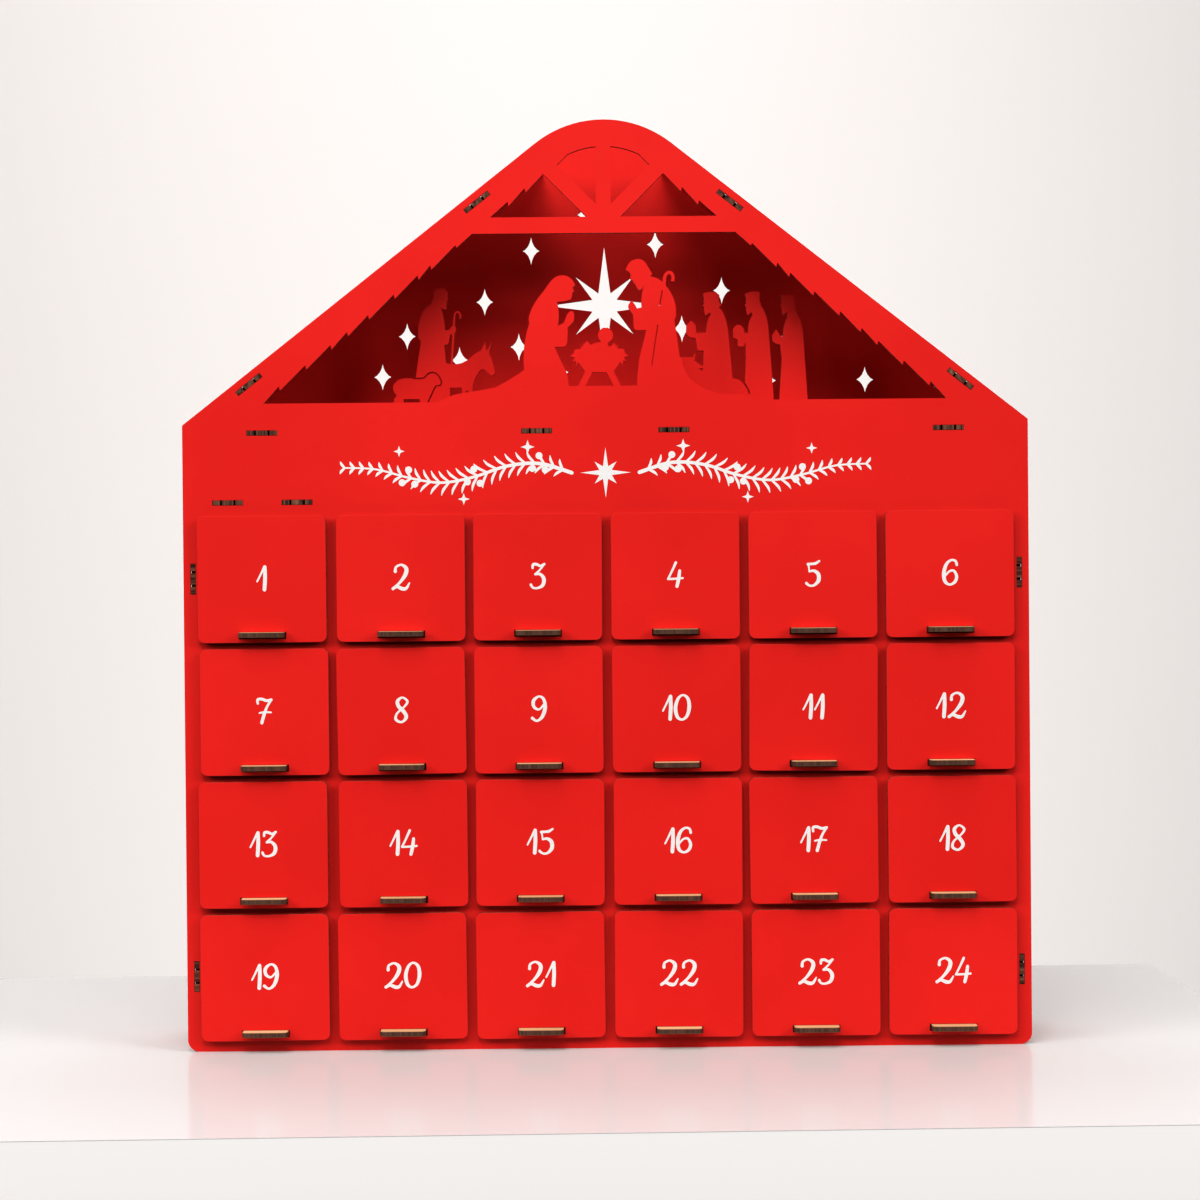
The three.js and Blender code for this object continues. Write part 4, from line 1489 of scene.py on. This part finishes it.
@dataclass
class Studio:
    """The soft light round the object."""

    display_gamma: float = 0.78
    ambient: float = 0.04
    ambient_colour: Colour = (1.0, 0.985, 0.975)
    lights: tuple[SoftLight, ...] = (
        SoftLight("key_light", (-0.6, -1.7, 2.8), 1.4, 1.4, 40.0),
        SoftLight("overhead_light", (0.0, -0.45, 2.6), 2.0, 1.0, 12.0),
        SoftLight("front_light", (0.0, -1.75, 1.75), 1.4, 0.7, 24.5),
        SoftLight("left_soft_box", (-1.9, -1.2, 1.3), 1.2, 1.2, 43.5),
        SoftLight("right_soft_box", (1.9, -1.2, 1.3), 1.2, 1.2, 43.5),
        SoftLight("back_light", (0.0, 0.9, 2.3), 1.6, 1.0, 14.0),
        SoftLight("wall_light", (-0.15, 1.2, 2.6), 2.4, 2.4, 40.0, target=(-0.15, 2.8, 0.6)),
        SoftLight("low_wall_light", (-0.05, 1.1, -1.0), 2.4, 1.2, 24.0, target=(-0.05, 2.8, 0.4)),
    )

    def build(self) -> None:
        """Sets the world's light and adds the lights."""
        world = bpy.data.worlds.new("studio")
        world.use_nodes = True
        background = world.node_tree.nodes["Background"]
        background.inputs["Color"].default_value = (*self.ambient_colour, 1.0)
        background.inputs["Strength"].default_value = self.ambient
        bpy.context.scene.world = world
        display = bpy.context.scene.view_settings
        display.view_transform = "Standard"
        display.gamma = self.display_gamma
        for light in self.lights:
            light.build()


@dataclass
class PhotoCamera:
    """The camera of the photograph, found from the edges of the front panel, with its angles in degrees."""

    location: Triple = (-0.01058, -1.51475, 0.27844)
    yaw: float = 0.2565
    pitch: float = 0.5051
    roll: float = -0.4900
    focal_length: float = 75.0
    sensor: float = 36.0

    def build(self) -> None:
        """Adds the camera and looks through it."""
        yaw, pitch, roll = (math.radians(angle) for angle in (self.yaw, self.pitch, self.roll))
        level = Vector((math.cos(yaw), -math.sin(yaw), 0.0))
        ahead = Vector((math.sin(yaw), math.cos(yaw), 0.0))
        forward = ahead * math.cos(pitch) - Vector((0.0, 0.0, math.sin(pitch)))
        upright = level.cross(forward)
        right = math.cos(roll) * level + math.sin(roll) * upright
        up = math.cos(roll) * upright - math.sin(roll) * level
        data = bpy.data.cameras.new("photo_camera")
        data.lens = self.focal_length
        data.sensor_width = self.sensor
        camera = bpy.data.objects.new("photo_camera", data)
        turn = Matrix((right, up, -forward)).transposed()
        camera.matrix_world = Matrix.Translation(self.location) @ turn.to_4x4()
        bpy.context.scene.collection.objects.link(camera)
        bpy.context.scene.camera = camera


def main() -> None:
    """Builds the object's looks, the stage, the light and the camera."""
    logging.basicConfig(level=logging.INFO, format="%(name)s: %(message)s")
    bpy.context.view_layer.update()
    for part in (Carcass(), Rack(), DrawerSet(), BannerOrnament(), Stage(), Studio(), PhotoCamera()):
        part.build()
        log.info("built %s", type(part).__name__)


if __name__ == "__main__":
    main()
